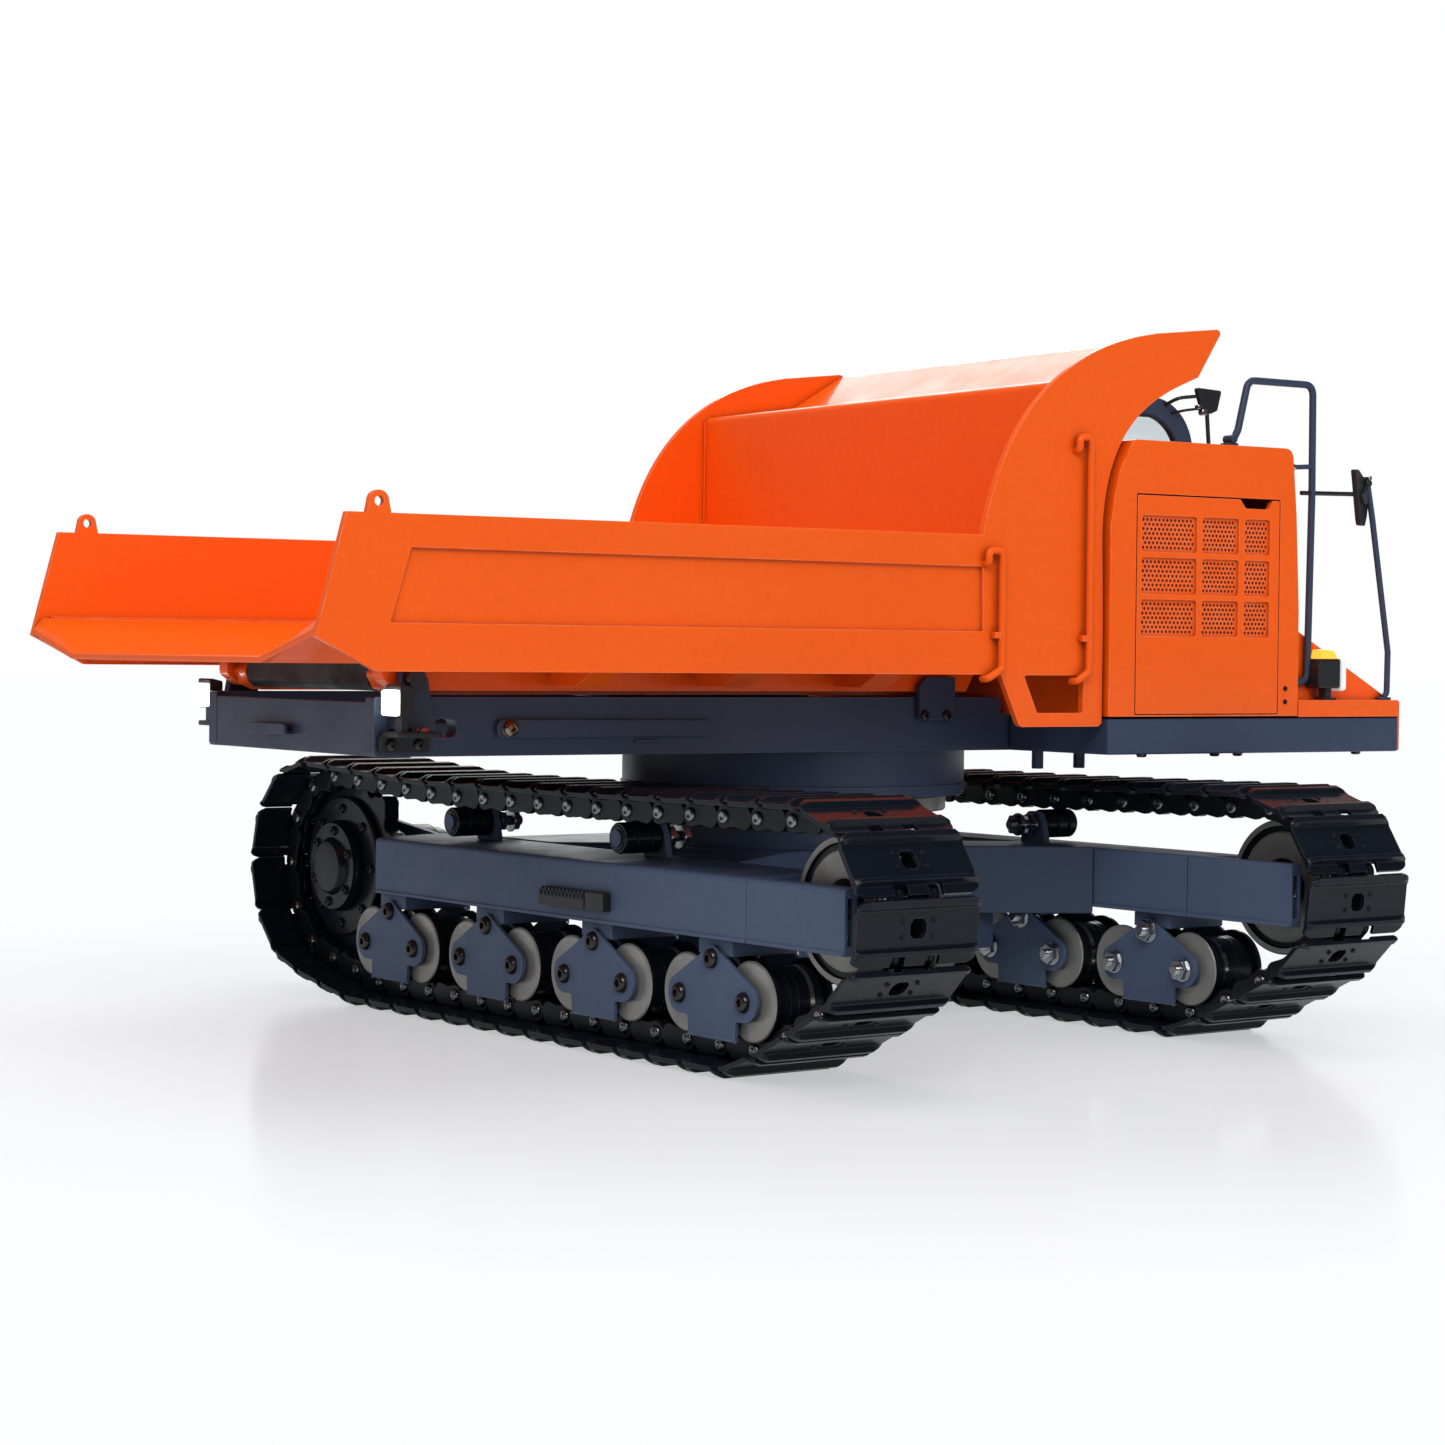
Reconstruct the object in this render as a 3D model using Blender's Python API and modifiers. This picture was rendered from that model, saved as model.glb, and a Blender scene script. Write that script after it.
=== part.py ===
# Slewing tracked dump truck, 1/16 scale model.
# Built in metres, +Z up; the sizes below are mm, with heights above the ground.
# Origin: on the slew axis, at the underside of the belly plate.
# +X runs from the tail of the bed to the cab, +Y to the cab side.
# The tracks lie along the Y axis of the undercarriage, which is turned by TRACK_TURN
# about the slew axis from square to the upper structure.
import math

import bmesh
import bpy
from mathutils import Matrix, Vector

# ---------------------------------------------------------------- driving dimensions, mm
MM = 0.001
GAP = 0.3  # clearance between neighbouring pieces
SIDES = ((-1, "near"), (1, "far"))

# Undercarriage
BELLY = 22.0  # belly plate above the ground
TRACK_TURN = math.radians(3.276)
GAUGE_HALF = 79.6  # slew axis to track centre
SHOE_HALF = 19.75
SHOE_LOW, SHOE_HIGH = 3.6, 6.6  # shoe plate and grousers, out from the pin line
LINK_IN, LINK_OUT, LINK_HALF = 3.8, 7.6, 3.3  # link rails: each side of the centre, half height
SPROCKET_Y, SPROCKET_Z = 124.5, 40.8
TEETH = 12
PITCH = 14.8
SPROCKET_R = PITCH / (2 * math.sin(math.pi / TEETH))
IDLER_Y, IDLER_Z, IDLER_R = -127.6, 45.0, 22.3
IDLER_RIM, IDLER_RIM_HALF = 19.2, 3.0
GROUND_PIN_Z = SHOE_HIGH
ROLLER_Z, ROLLER_R, ROLLER_TREAD = 19.4, 10.7, 9.1
WAIST_R, WAIST_HALF = 3.6, 3.0  # middle of a roller, which the sprocket teeth pass through
BOGIE_YS = (-84.0, -28.6, 26.8, 82.2)
ROLLER_OFFSET = 14.1  # each roller from the middle of its bogie
CARRIER_YS = (-30.4, 57.7)
CARRIER_Z, CARRIER_R = 58.1, 4.4
TOP_PIN_Z = CARRIER_Z + CARRIER_R + LINK_HALF + 0.3
FRAME_HALF = 13.4
FRAME_LOW = 35.0
FRAME_SEAM_Y, FRAME_END_Y = -100.4, -141.0
STEP_YS, STEP_ZS = (-39.0, -6.5), (38.6, 43.8)  # step block on the outer face of the beam
STEP_PROUD = 16.0

# Chassis
CHASSIS_LOW, CHASSIS_HIGH = 82.0, 97.5
CHASSIS_REAR = -167.0
RAIL_Y, RAIL_THICK = 52.0, 5.0  # outer face and thickness of the chassis rails
RAIL_FRONT, RAIL_STEP_X, RAIL_STEP_Z = 150.0, 38.0, 91.9
DRUM_R, DRUM_LOW = 51.5, 68.4
HINGE_X, HINGE_Z, HINGE_BORE = -157.3, 102.5, 1.9
CYL_BASE = (22.0, 90.5)  # x, z of the dump cylinder's front pin
CYL_ROD = (-98.0, 101.0)  # x, z of its rear pin, under the bed

# Platform, hood and cab
PLAT = 97.0
PLAT_REAR, PLAT_FRONT = 41.2, 156.6
DECK_LOW, DECK_HIGH = 92.5, 97.5
HOOD_FRONT, HOOD_TOP, HOOD_WALL = 114.0, 171.5, 2.0
SPLIT_Y = -9.3  # between the hood and the cab
DOOR_X0, DOOR_X1 = 51.1, 105.7
CAB_Y0, CAB_Y1 = -8.5, 92.0
CAB_REAR, CAB_FRONT, CAB_TOP = 62.0, 152.0, 193.6
CAB_LOW = DECK_HIGH + GAP
CAB_WALL = 2.4
CAB_DOOR_X = 84.0  # rear edge of the doorway
HANDRAIL_Y = -92.0

# Dump bed
BED_HALF = 95.0
BED_TOP, BED_BOTTOM = 143.0, 104.5
SHEET = 2.0
BED_INNER = BED_HALF - SHEET
FLOOR_LOW, FLOOR_HIGH = 106.2, 107.8
FLOOR_HALF = 63.0
FOLD_Z = 118.0
BEAM_LOW = 98.0
HEADBOARD_X = 27.3

LIFT = Vector((0, 0, -BELLY))  # from heights above the ground to heights above the origin

LOOKS = {
    "orange": dict(colour=(0.86, 0.10, 0.012), roughness=0.28, metallic=0.0),
    "slate": dict(colour=(0.028, 0.036, 0.055), roughness=0.4, metallic=0.0),
    "black": dict(colour=(0.008, 0.009, 0.011), roughness=0.35, metallic=0.4),
    "steel": dict(colour=(0.55, 0.54, 0.52), roughness=0.3, metallic=1.0),
    "plastic": dict(colour=(0.012, 0.012, 0.014), roughness=0.45, metallic=0.0),
    "glass": dict(colour=(0.6, 0.65, 0.68), roughness=0.05, metallic=0.0),
    "zinc": dict(colour=(0.6, 0.6, 0.58), roughness=0.35, metallic=1.0),
    "seat": dict(colour=(0.03, 0.03, 0.03), roughness=0.7, metallic=0.0),
}

# ---------------------------------------------------------------- scene
for old in list(bpy.data.objects):
    bpy.data.objects.remove(old, do_unlink=True)

PARTS = bpy.data.collections.new("crawler_dump_truck")
bpy.context.scene.collection.children.link(PARTS)

UNDER = bpy.data.objects.new("undercarriage_axis", None)
UNDER.rotation_euler = (0, 0, TRACK_TURN)
PARTS.objects.link(UNDER)


# ---------------------------------------------------------------- solids
def link(data):
    obj = bpy.data.objects.new("piece", data)
    PARTS.objects.link(obj)
    return obj


def link_bmesh(bm):
    mesh = bpy.data.meshes.new("piece")
    bm.to_mesh(mesh)
    bm.free()
    return link(mesh)


def evaluated(obj):
    graph = bpy.context.evaluated_depsgraph_get()
    return bpy.data.meshes.new_from_object(obj.evaluated_get(graph))


def baked(obj):
    """The evaluated mesh of a temporary object, which is removed."""
    mesh = evaluated(obj)
    bpy.data.objects.remove(obj)
    return mesh


def tidy(mesh, matrix=None):
    bm = bmesh.new()
    bm.from_mesh(mesh)
    if matrix is not None:
        bmesh.ops.transform(bm, matrix=matrix, verts=bm.verts)
    bmesh.ops.remove_doubles(bm, verts=bm.verts, dist=1e-6)
    bmesh.ops.recalc_face_normals(bm, faces=bm.faces)
    bm.to_mesh(mesh)
    bm.free()


AXES = {  # local x, y and extrusion direction of a flat outline
    "XZ": (Vector((1, 0, 0)), Vector((0, 0, 1)), Vector((0, -1, 0))),
    "YZ": (Vector((0, 1, 0)), Vector((0, 0, 1)), Vector((1, 0, 0))),
    "XY": (Vector((1, 0, 0)), Vector((0, 1, 0)), Vector((0, 0, 1))),
}


def prism(outline, plane, low, high, holes=()):
    """A flat outline, thickened from low to high along the axis its plane leaves out."""
    curve = bpy.data.curves.new("outline", "CURVE")
    curve.dimensions = "2D"
    curve.fill_mode = "BOTH"
    curve.extrude = (high - low) / 2 * MM
    for ring in (outline, *holes):
        spline = curve.splines.new("POLY")
        spline.points.add(len(ring) - 1)
        for point, (across_plane, up_plane) in zip(spline.points, ring):
            point.co = (across_plane * MM, up_plane * MM, 0, 1)
        spline.use_cyclic_u = True
    mesh = baked(link(curve))
    axes = AXES[plane]
    middle = (low + high) / 2 * MM
    matrix = Matrix(axes).transposed().to_4x4()
    matrix.translation = middle * Vector([abs(part) for part in axes[2]]) + LIFT * MM
    tidy(mesh, matrix)
    return link(mesh)


def box(xs, ys, zs):
    """A block from its (low, high) pair on each axis."""
    low, high = (Vector(corner) for corner in zip(xs, ys, zs))
    size = (high - low) * MM
    bm = bmesh.new()
    bmesh.ops.create_cube(bm, size=1)
    move = Matrix.Translation(((low + high) / 2 + LIFT) * MM)
    bmesh.ops.transform(bm, matrix=move @ Matrix.Diagonal((*size, 1)), verts=bm.verts)
    return link_bmesh(bm)


def rod(start, end, radius, segments=16, radius_end=None):
    """A cylinder, or a cone, between two points."""
    start, end = (Vector(start) + LIFT) * MM, (Vector(end) + LIFT) * MM
    axis = end - start
    bm = bmesh.new()
    bmesh.ops.create_cone(
        bm,
        cap_ends=True,
        segments=segments,
        radius1=radius * MM,
        radius2=(radius if radius_end is None else radius_end) * MM,
        depth=axis.length,
    )
    aim = axis.to_track_quat("Z", "Y").to_matrix().to_4x4()
    move = Matrix.Translation((start + end) / 2)
    bmesh.ops.transform(bm, matrix=move @ aim, verts=bm.verts)
    return link_bmesh(bm)


def cross_rod(x, z, ys, radius, segments):
    """A rod along Y."""
    return rod((x, ys[0], z), (x, ys[1], z), radius, segments)


def turned(profile, segments, matrix):
    """A ring about its own Z axis from a closed (radius, height) profile, then moved."""
    mesh = bpy.data.meshes.new("profile")
    count = len(profile)
    mesh.from_pydata(
        [(radius * MM, 0, z * MM) for radius, z in profile],
        [(i, (i + 1) % count) for i in range(count)],
        [],
    )
    obj = link(mesh)
    screw = obj.modifiers.new("turn", "SCREW")
    screw.axis = "Z"
    screw.steps = screw.render_steps = segments
    screw.use_merge_vertices = True
    screw.merge_threshold = 0.00001
    solid = baked(obj)
    tidy(solid)
    solid.transform(matrix)
    return link(solid)


def tube(points, radius, resolution=1):
    """A bent round tube through points."""
    curve = bpy.data.curves.new("path", "CURVE")
    curve.dimensions = "3D"
    curve.bevel_depth = radius * MM
    curve.bevel_resolution = resolution
    curve.use_fill_caps = True
    spline = curve.splines.new("POLY")
    spline.points.add(len(points) - 1)
    for point, place in zip(spline.points, points):
        point.co = (*((Vector(place) + LIFT) * MM), 1)
    mesh = baked(link(curve))
    tidy(mesh)
    return link(mesh)


def boolean(base, other, operation):
    modifier = base.modifiers.new("bool", "BOOLEAN")
    modifier.operation = operation
    modifier.solver = "EXACT"
    modifier.object = other
    mesh = evaluated(base)
    base.modifiers.clear()
    base.data = mesh
    bpy.data.objects.remove(other)


def union(base, *others):
    for other in others:
        boolean(base, other, "UNION")


def cut(base, *others):
    for other in others:
        boolean(base, other, "DIFFERENCE")


def finish(obj, name, look, pivot=None, parent=None):
    """Names the piece, gives it its material, and puts its origin on its joint's axis."""
    obj.name = obj.data.name = name
    obj.data.materials.clear()
    obj.data.materials.append(paint(name, **LOOKS[look]))
    obj.data.shade_smooth()
    obj.data.set_sharp_from_angle(angle=math.radians(35))
    if pivot is not None:
        origin = (Vector(pivot) + LIFT) * MM
        obj.data.transform(Matrix.Translation(-origin))
        obj.location = origin
    if parent is not None:
        obj.parent = parent


def paint(name, colour, roughness, metallic):
    material = bpy.data.materials.new(name)
    material.use_nodes = True
    inputs = material.node_tree.nodes["Principled BSDF"].inputs
    inputs["Base Color"].default_value = (*colour, 1)
    inputs["Roughness"].default_value = roughness
    inputs["Metallic"].default_value = metallic
    return material


# ---------------------------------------------------------------- outlines and ranges
def both(half):
    """The range that reaches half to each side of zero."""
    return -half, half


def mirrored(side, inner, outer):
    """The range from inner to outer, on the +Y side or on the -Y side."""
    return tuple(sorted((side * inner, side * outer)))


def arc(centre_x, centre_y, radius, start, end, steps):
    """Points on a circle, angles in degrees."""
    angles = [math.radians(start + (end - start) * i / steps) for i in range(steps + 1)]
    return [
        (centre_x + radius * math.cos(angle), centre_y + radius * math.sin(angle))
        for angle in angles
    ]


def rounded(points, radius, steps):
    """Replaces each inner corner of a path by a quadratic curve."""
    path = [Vector(points[0])]
    for corner_triple in zip(points, points[1:], points[2:]):
        before, corner, after = map(Vector, corner_triple)
        back, onward = (before - corner).normalized(), (after - corner).normalized()
        reach = min(
            radius / math.tan(back.angle(onward) / 2),
            (before - corner).length * 0.48,
            (after - corner).length * 0.48,
        )
        first, last = corner + back * reach, corner + onward * reach
        for i in range(steps + 1):
            share = i / steps
            path.append(first.lerp(corner, share).lerp(corner.lerp(last, share), share))
    path.append(Vector(points[-1]))
    return path


def bezier(controls, steps):
    """Points on a cubic curve with four control points."""
    start, pull_start, pull_end, end = (Vector(control) for control in controls)
    points = []
    for i in range(steps + 1):
        t = i / steps
        point = start * (1 - t) ** 3 + pull_start * 3 * (1 - t) ** 2 * t
        point = point + pull_end * 3 * (1 - t) * t * t + end * t**3
        points.append((point.x, point.y))
    return points


# ---------------------------------------------------------------- carbody, below the slew ring
def build_carbody():
    reach = GAUGE_HALF - FRAME_HALF - GAP
    # x, y of the +X half; the other half mirrors it
    half = [(reach, 62), (reach, 32), (42, 15), (42, -15), (reach, -32), (reach, -62), (30, -38)]
    carbody = prism(half + [(-x, y) for x, y in reversed(half)], "XY", 33, 53)
    union(
        carbody,
        box(both(46), both(40), (BELLY, 34)),  # belly box
        rod((0, 0, 30), (0, 0, 63.2), 36, 24),  # post under the slew ring
    )
    finish(carbody, "carbody_frame", "slate", parent=UNDER)


def build_slew_ring():
    outer, bore, low, high = 46, 30, 63.5, 68.1
    profile = [(outer, high), (outer, low), (bore, low), (bore, high)]
    ring = turned(profile, 32, Matrix.Translation(LIFT * MM))
    finish(ring, "slew_ring", "steel", parent=UNDER)


# ---------------------------------------------------------------- places on a track
def out(side, outward):
    """X of a point so far outboard of a track's centre."""
    return side * (GAUGE_HALF + outward)


def across(side, start, end):
    """X range between two outward offsets from a track's centre."""
    return tuple(sorted((out(side, start), out(side, end))))


def track_rod(side, offsets, y, z, radius, segments, radius_end=None):
    """A rod across a track, between two outward offsets."""
    start, end = ((out(side, outward), y, z) for outward in offsets)
    return rod(start, end, radius, segments, radius_end)


def track_ring(side, y, z, profile, segments):
    """A turned ring about an axle across a track; profile heights run outboard."""
    move = Matrix.Translation((Vector((out(side, 0), y, z)) + LIFT) * MM)
    return turned(profile, segments, move @ Matrix.Rotation(side * math.pi / 2, 4, "Y"))


# ---------------------------------------------------------------- track belt
def tangent_angle(point, centre, radius, turn):
    """Where a line from a point touches a circle, in degrees round the circle."""
    toward = Vector(centre) - Vector(point)
    back = math.atan2(toward.y, toward.x) + math.pi
    return math.degrees(back + turn * math.acos(radius / toward.length)) % 360


def track_path(offset):
    """The (y, z) pin line moved out by offset: ground, sprocket, carrier rollers, idler."""
    sprocket, idler = (SPROCKET_Y, SPROCKET_Z), (IDLER_Y, IDLER_Z)
    ground_end = (BOGIE_YS[-1] + ROLLER_OFFSET, GROUND_PIN_Z)
    top_start, top_end = (CARRIER_YS[1], TOP_PIN_Z), (CARRIER_YS[0], TOP_PIN_Z)
    sprocket_on = tangent_angle(ground_end, sprocket, SPROCKET_R, 1) - 360
    sprocket_off = tangent_angle(top_start, sprocket, SPROCKET_R, -1)
    idler_on = tangent_angle(top_end, idler, IDLER_R, 1)
    # the chain bends round the roller next to the idler: one line touches both circles
    bend = Vector((BOGIE_YS[0] - ROLLER_OFFSET, ROLLER_Z))
    bend_r = ROLLER_Z - GROUND_PIN_Z
    span = Vector(idler) - bend
    slope = math.atan2(span.y, span.x)
    idler_off = math.degrees(slope + math.acos((bend_r - IDLER_R) / span.length))
    return [
        *arc(*bend, bend_r + offset, idler_off, 270, 3),
        (ground_end[0], GROUND_PIN_Z - offset),
        *arc(*sprocket, SPROCKET_R + offset, sprocket_on, sprocket_off, 9),
        (top_start[0], TOP_PIN_Z + offset),
        (top_end[0], TOP_PIN_Z + offset),
        *arc(*idler, IDLER_R + offset, idler_on, idler_off, 8),
    ]


def build_belt(side, word):
    """Shoe band with the two link rails inside it, lofted from one comb-shaped section."""
    section = [  # outward from the track centre, out from the pin line
        (-SHOE_HALF, SHOE_HIGH), (SHOE_HALF, SHOE_HIGH),
        (SHOE_HALF, SHOE_LOW), (LINK_OUT, SHOE_LOW),
        (LINK_OUT, -LINK_HALF), (LINK_IN, -LINK_HALF),
        (LINK_IN, SHOE_LOW), (-LINK_IN, SHOE_LOW),
        (-LINK_IN, -LINK_HALF), (-LINK_OUT, -LINK_HALF),
        (-LINK_OUT, SHOE_LOW), (-SHOE_HALF, SHOE_LOW),
    ]
    bm = bmesh.new()
    rows = [
        [
            bm.verts.new((Vector((out(side, outward), y, z)) + LIFT) * MM)
            for y, z in track_path(height)
        ]
        for outward, height in section
    ]
    for row, following in zip(rows, rows[1:] + rows[:1]):
        for i in range(len(row)):
            j = (i + 1) % len(row)
            bm.faces.new((row[i], row[j], following[j], following[i]))
    bmesh.ops.recalc_face_normals(bm, faces=bm.faces)
    finish(link_bmesh(bm), f"track_belt_{word}", "black", parent=UNDER)


# ---------------------------------------------------------------- track frame and its fork
def frame_section(side):
    """(x, z) section of the box beam; its top slopes down outwards."""
    section = [
        (FRAME_HALF, FRAME_LOW), (FRAME_HALF, 51.0), (12.2, 52.2),
        (-12.5, 52.8), (-FRAME_HALF, 52.0), (-FRAME_HALF, FRAME_LOW),
    ]
    return [(out(side, outward), z) for outward, z in section]


def build_track_frame(side, word):
    """Box beam with a motor plate at the sprocket end and the carrier roller brackets."""
    beam = prism(frame_section(side), "XZ", FRAME_SEAM_Y, 88.5)
    plate_end = arc(SPROCKET_Y, SPROCKET_Z, 15, -90, 90, 6)
    plate = [(70, 38), (84, 36.5), *plate_end, (84, 51.0), (70, 50)]
    union(beam, prism(plate, "YZ", *across(side, -13.1, -11.2)))
    cut(beam, track_rod(side, (-16, -8), SPROCKET_Y, SPROCKET_Z, 4.4, 12))
    for y in CARRIER_YS:
        union(
            beam,
            box(across(side, -9.6, -7.4), (y - 4, y + 4), (50, 62)),
            track_rod(side, (-8, 5.4), y, CARRIER_Z, 1.3, 10),
        )
    union(beam, box(across(side, 13, STEP_PROUD), STEP_YS, STEP_ZS))
    finish(beam, f"track_frame_{word}", "slate", parent=UNDER)


def build_tensioner_fork(side, word):
    """Fork that carries the idler and slides in the end of the beam to tension the track."""
    fork = prism(frame_section(side), "XZ", FRAME_END_Y, FRAME_SEAM_Y - GAP)
    slot = (FRAME_END_Y - 2, FRAME_SEAM_Y - 5)
    cut(fork, box(across(side, -9.4, 9.4), slot, (30, 60)))
    union(fork, track_rod(side, (-11, 11), IDLER_Y, IDLER_Z, 3.0, 12))
    finish(fork, f"tensioner_fork_{word}", "slate", parent=UNDER)


# ---------------------------------------------------------------- wheels of the track
def build_idler(side, word):
    hub_r, hub_half, bore = 6, 9.0, 3.4
    profile = [
        (hub_r, hub_half), (hub_r, IDLER_RIM_HALF),
        (IDLER_RIM, IDLER_RIM_HALF), (IDLER_RIM, -IDLER_RIM_HALF),
        (hub_r, -IDLER_RIM_HALF), (hub_r, -hub_half),
        (bore, -hub_half), (bore, hub_half),
    ]
    wheel = track_ring(side, IDLER_Y, IDLER_Z, profile, 24)
    pivot = (out(side, 0), IDLER_Y, IDLER_Z)
    finish(wheel, f"idler_wheel_{word}", "steel", pivot=pivot, parent=UNDER)


def sprocket_outline():
    # degrees from the middle of a tooth, height over the pitch circle
    tooth = ((-11.5, -3.2), (-8, -0.8), (-3.2, 2.6), (3.2, 2.6), (8, -0.8), (11.5, -3.2))
    ring = []
    for i in range(TEETH):
        for turn, height in tooth:
            angle = math.radians((i + 0.5) * 360 / TEETH + turn)
            radius = SPROCKET_R + height
            y = SPROCKET_Y + radius * math.cos(angle)
            z = SPROCKET_Z + radius * math.sin(angle)
            ring.append((y, z))
    return ring


def build_sprocket(side, word):
    sprocket = prism(sprocket_outline(), "YZ", *across(side, -2.6, 2.6))
    union(
        sprocket,
        track_rod(side, (-10.8, 8.6), SPROCKET_Y, SPROCKET_Z, 14.5, 20),  # hub
        track_rod(side, (8, 10.6), SPROCKET_Y, SPROCKET_Z, 8, 16, radius_end=7),  # cap
    )
    pivot = (out(side, 0), SPROCKET_Y, SPROCKET_Z)
    finish(sprocket, f"sprocket_{word}", "black", pivot=pivot, parent=UNDER)


def build_drive_motor(side, word):
    """Motor on the inner side of the plate, with a spigot through it."""
    motor = track_rod(side, (-13.5, -31), SPROCKET_Y, SPROCKET_Z, 12.5, 18)
    union(motor, track_rod(side, (-11.0, -14), SPROCKET_Y, SPROCKET_Z, 4.0, 12))
    finish(motor, f"drive_motor_{word}", "plastic", parent=UNDER)


def bogie_outline(middle):
    """House-shaped side plate: apex on top, a lobe round each roller bolt, a tongue below."""
    half = [(10.2, 7.3), (10.6, 14.0), (14.4, 14.1)]
    half += arc(ROLLER_OFFSET, ROLLER_Z, 5.4, -80, 42, 4)
    half += [(5.2, 31.6), (3.2, 32.4)]
    return [(middle + y, z) for y, z in half] + [(middle - y, z) for y, z in reversed(half)]


def build_bogie(side, label, middle):
    """Two side plates, their top block and two axles."""
    outline = bogie_outline(middle)
    yoke = prism(outline, "YZ", *across(side, 10.1, 12.1))
    union(
        yoke,
        box(across(side, -11, 11), (middle - 7.5, middle + 7.5), (30.4, FRAME_LOW - GAP)),
        prism(outline, "YZ", *across(side, -12.1, -10.1)),
    )
    for y in (middle - ROLLER_OFFSET, middle + ROLLER_OFFSET):
        union(yoke, track_rod(side, (-11, 11), y, ROLLER_Z, 1.8, 10))
    finish(yoke, f"bogie_{label}", "slate", parent=UNDER)


def build_track_roller(side, label, y):
    """Roller with a flange at each end and a narrow waist."""
    half, flange, bore = 9.7, 8.0, 2.15
    profile = [
        (ROLLER_R, half), (ROLLER_R, flange),
        (ROLLER_TREAD, flange), (ROLLER_TREAD, WAIST_HALF),
        (WAIST_R, WAIST_HALF), (WAIST_R, -WAIST_HALF),
        (ROLLER_TREAD, -WAIST_HALF), (ROLLER_TREAD, -flange),
        (ROLLER_R, -flange), (ROLLER_R, -half),
        (bore, -half), (bore, half),
    ]
    roller = track_ring(side, y, ROLLER_Z, profile, 12)
    pivot = (out(side, 0), y, ROLLER_Z)
    finish(roller, f"track_roller_{label}", "steel", pivot=pivot, parent=UNDER)


def build_carrier_roller(side, label, y):
    inner_end, outer_end, bore = -6.9, 5.6, 1.6
    profile = [
        (CARRIER_R, outer_end), (CARRIER_R, inner_end), (bore, inner_end), (bore, outer_end),
    ]
    carrier = track_ring(side, y, CARRIER_Z, profile, 12)
    pivot = (out(side, 0), y, CARRIER_Z)
    finish(carrier, f"carrier_roller_{label}", "black", pivot=pivot, parent=UNDER)


def build_track(side, word):
    build_belt(side, word)
    build_track_frame(side, word)
    build_tensioner_fork(side, word)
    build_idler(side, word)
    build_sprocket(side, word)
    build_drive_motor(side, word)
    for i, middle in enumerate(BOGIE_YS, 1):
        build_bogie(side, f"{word}_{i}", middle)
        for direction, tag in ((-1, "a"), (1, "b")):
            build_track_roller(side, f"{word}_{i}{tag}", middle + direction * ROLLER_OFFSET)
    for i, y in enumerate(CARRIER_YS, 1):
        build_carrier_roller(side, f"{word}_{i}", y)


# ---------------------------------------------------------------- chassis
def build_chassis():
    """Turntable drum, rails, cross members, hinge ears and cylinder clevis."""
    rail = [  # x, z
        (CHASSIS_REAR, CHASSIS_LOW), (RAIL_FRONT, CHASSIS_LOW),
        (RAIL_FRONT, RAIL_STEP_Z), (RAIL_STEP_X, RAIL_STEP_Z),
        (RAIL_STEP_X, CHASSIS_HIGH), (CHASSIS_REAR, CHASSIS_HIGH),
    ]
    # cross members end inside the rails and stand clear of their faces
    span = both(RAIL_Y - 1)
    low = CHASSIS_LOW + 0.1
    chassis = prism(rail, "XZ", -RAIL_Y, -RAIL_Y + RAIL_THICK)
    union(
        chassis,
        box((CHASSIS_REAR + 0.1, CHASSIS_REAR + 3), span, (low, 96.2)),
        prism(rail, "XZ", RAIL_Y - RAIL_THICK, RAIL_Y),
        box((-112, -104), span, (low, 89)),
        box((-60, 60), span, (low, 84)),
        box((142, RAIL_FRONT - 0.1), span, (low, 91)),
        rod((0, 0, DRUM_LOW), (0, 0, 83), DRUM_R, 40),
    )
    ear = [(HINGE_X - 5.5, 89.2), (HINGE_X + 7, 89.2), (HINGE_X + 4.6, HINGE_Z)]
    ear += arc(HINGE_X, HINGE_Z, 3.2, 20, 160, 5)
    pin_x, pin_z = CYL_BASE
    clevis = [(pin_x - 6, 83), (pin_x + 6, 83), (pin_x + 3.3, pin_z + 0.8)]
    clevis += arc(pin_x, pin_z, 3.4, 20, 160, 4)
    for side, _ in SIDES:
        union(
            chassis,
            prism(ear, "XZ", *mirrored(side, RAIL_Y - 0.4, RAIL_Y + 2.6)),
            prism(clevis, "XZ", *mirrored(side, 6.0, 9.0)),
        )
    cut(chassis, cross_rod(HINGE_X, HINGE_Z, both(60), HINGE_BORE, 12))
    union(chassis, cross_rod(pin_x, pin_z, both(8), 1.5, 12))
    finish(chassis, "chassis_frame", "slate")


def build_hinge_shaft():
    """Shaft with a collar near each end."""
    shaft = cross_rod(HINGE_X, HINGE_Z, both(57.5), 1.6, 12)
    for side, _ in SIDES:
        union(shaft, cross_rod(HINGE_X, HINGE_Z, (side * 55.2, side * 57.4), 2.6, 12))
    finish(shaft, "bed_hinge_shaft", "zinc", pivot=(HINGE_X, 0, HINGE_Z))


# ---------------------------------------------------------------- platform and deck
def build_platform():
    platform = box((PLAT_REAR, PLAT_FRONT), both(PLAT), (CHASSIS_LOW, 92.2))
    cut(platform, box((38, RAIL_FRONT + GAP), both(RAIL_Y + GAP), (80, 93)))
    finish(platform, "platform_skirt", "slate")


def build_deck():
    """L-shaped deck round the hood, with an upright gusset in front of the hood."""
    deck_rear, hood_edge = PLAT_REAR + 0.8, HOOD_FRONT + 0.4
    plan = [
        (hood_edge, -PLAT), (PLAT_FRONT, -PLAT), (PLAT_FRONT, PLAT),
        (deck_rear, PLAT), (deck_rear, SPLIT_Y), (hood_edge, SPLIT_Y),
    ]
    gusset_rear = HOOD_FRONT + 1.0
    gusset = [(gusset_rear, 97.0), (155.5, 97.0), (155.5, 99.0), (gusset_rear, 120.5)]
    deck = prism(plan, "XY", DECK_LOW, DECK_HIGH)
    union(deck, prism(gusset, "XZ", -89.5, -88.0))
    finish(deck, "front_deck", "orange")


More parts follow.
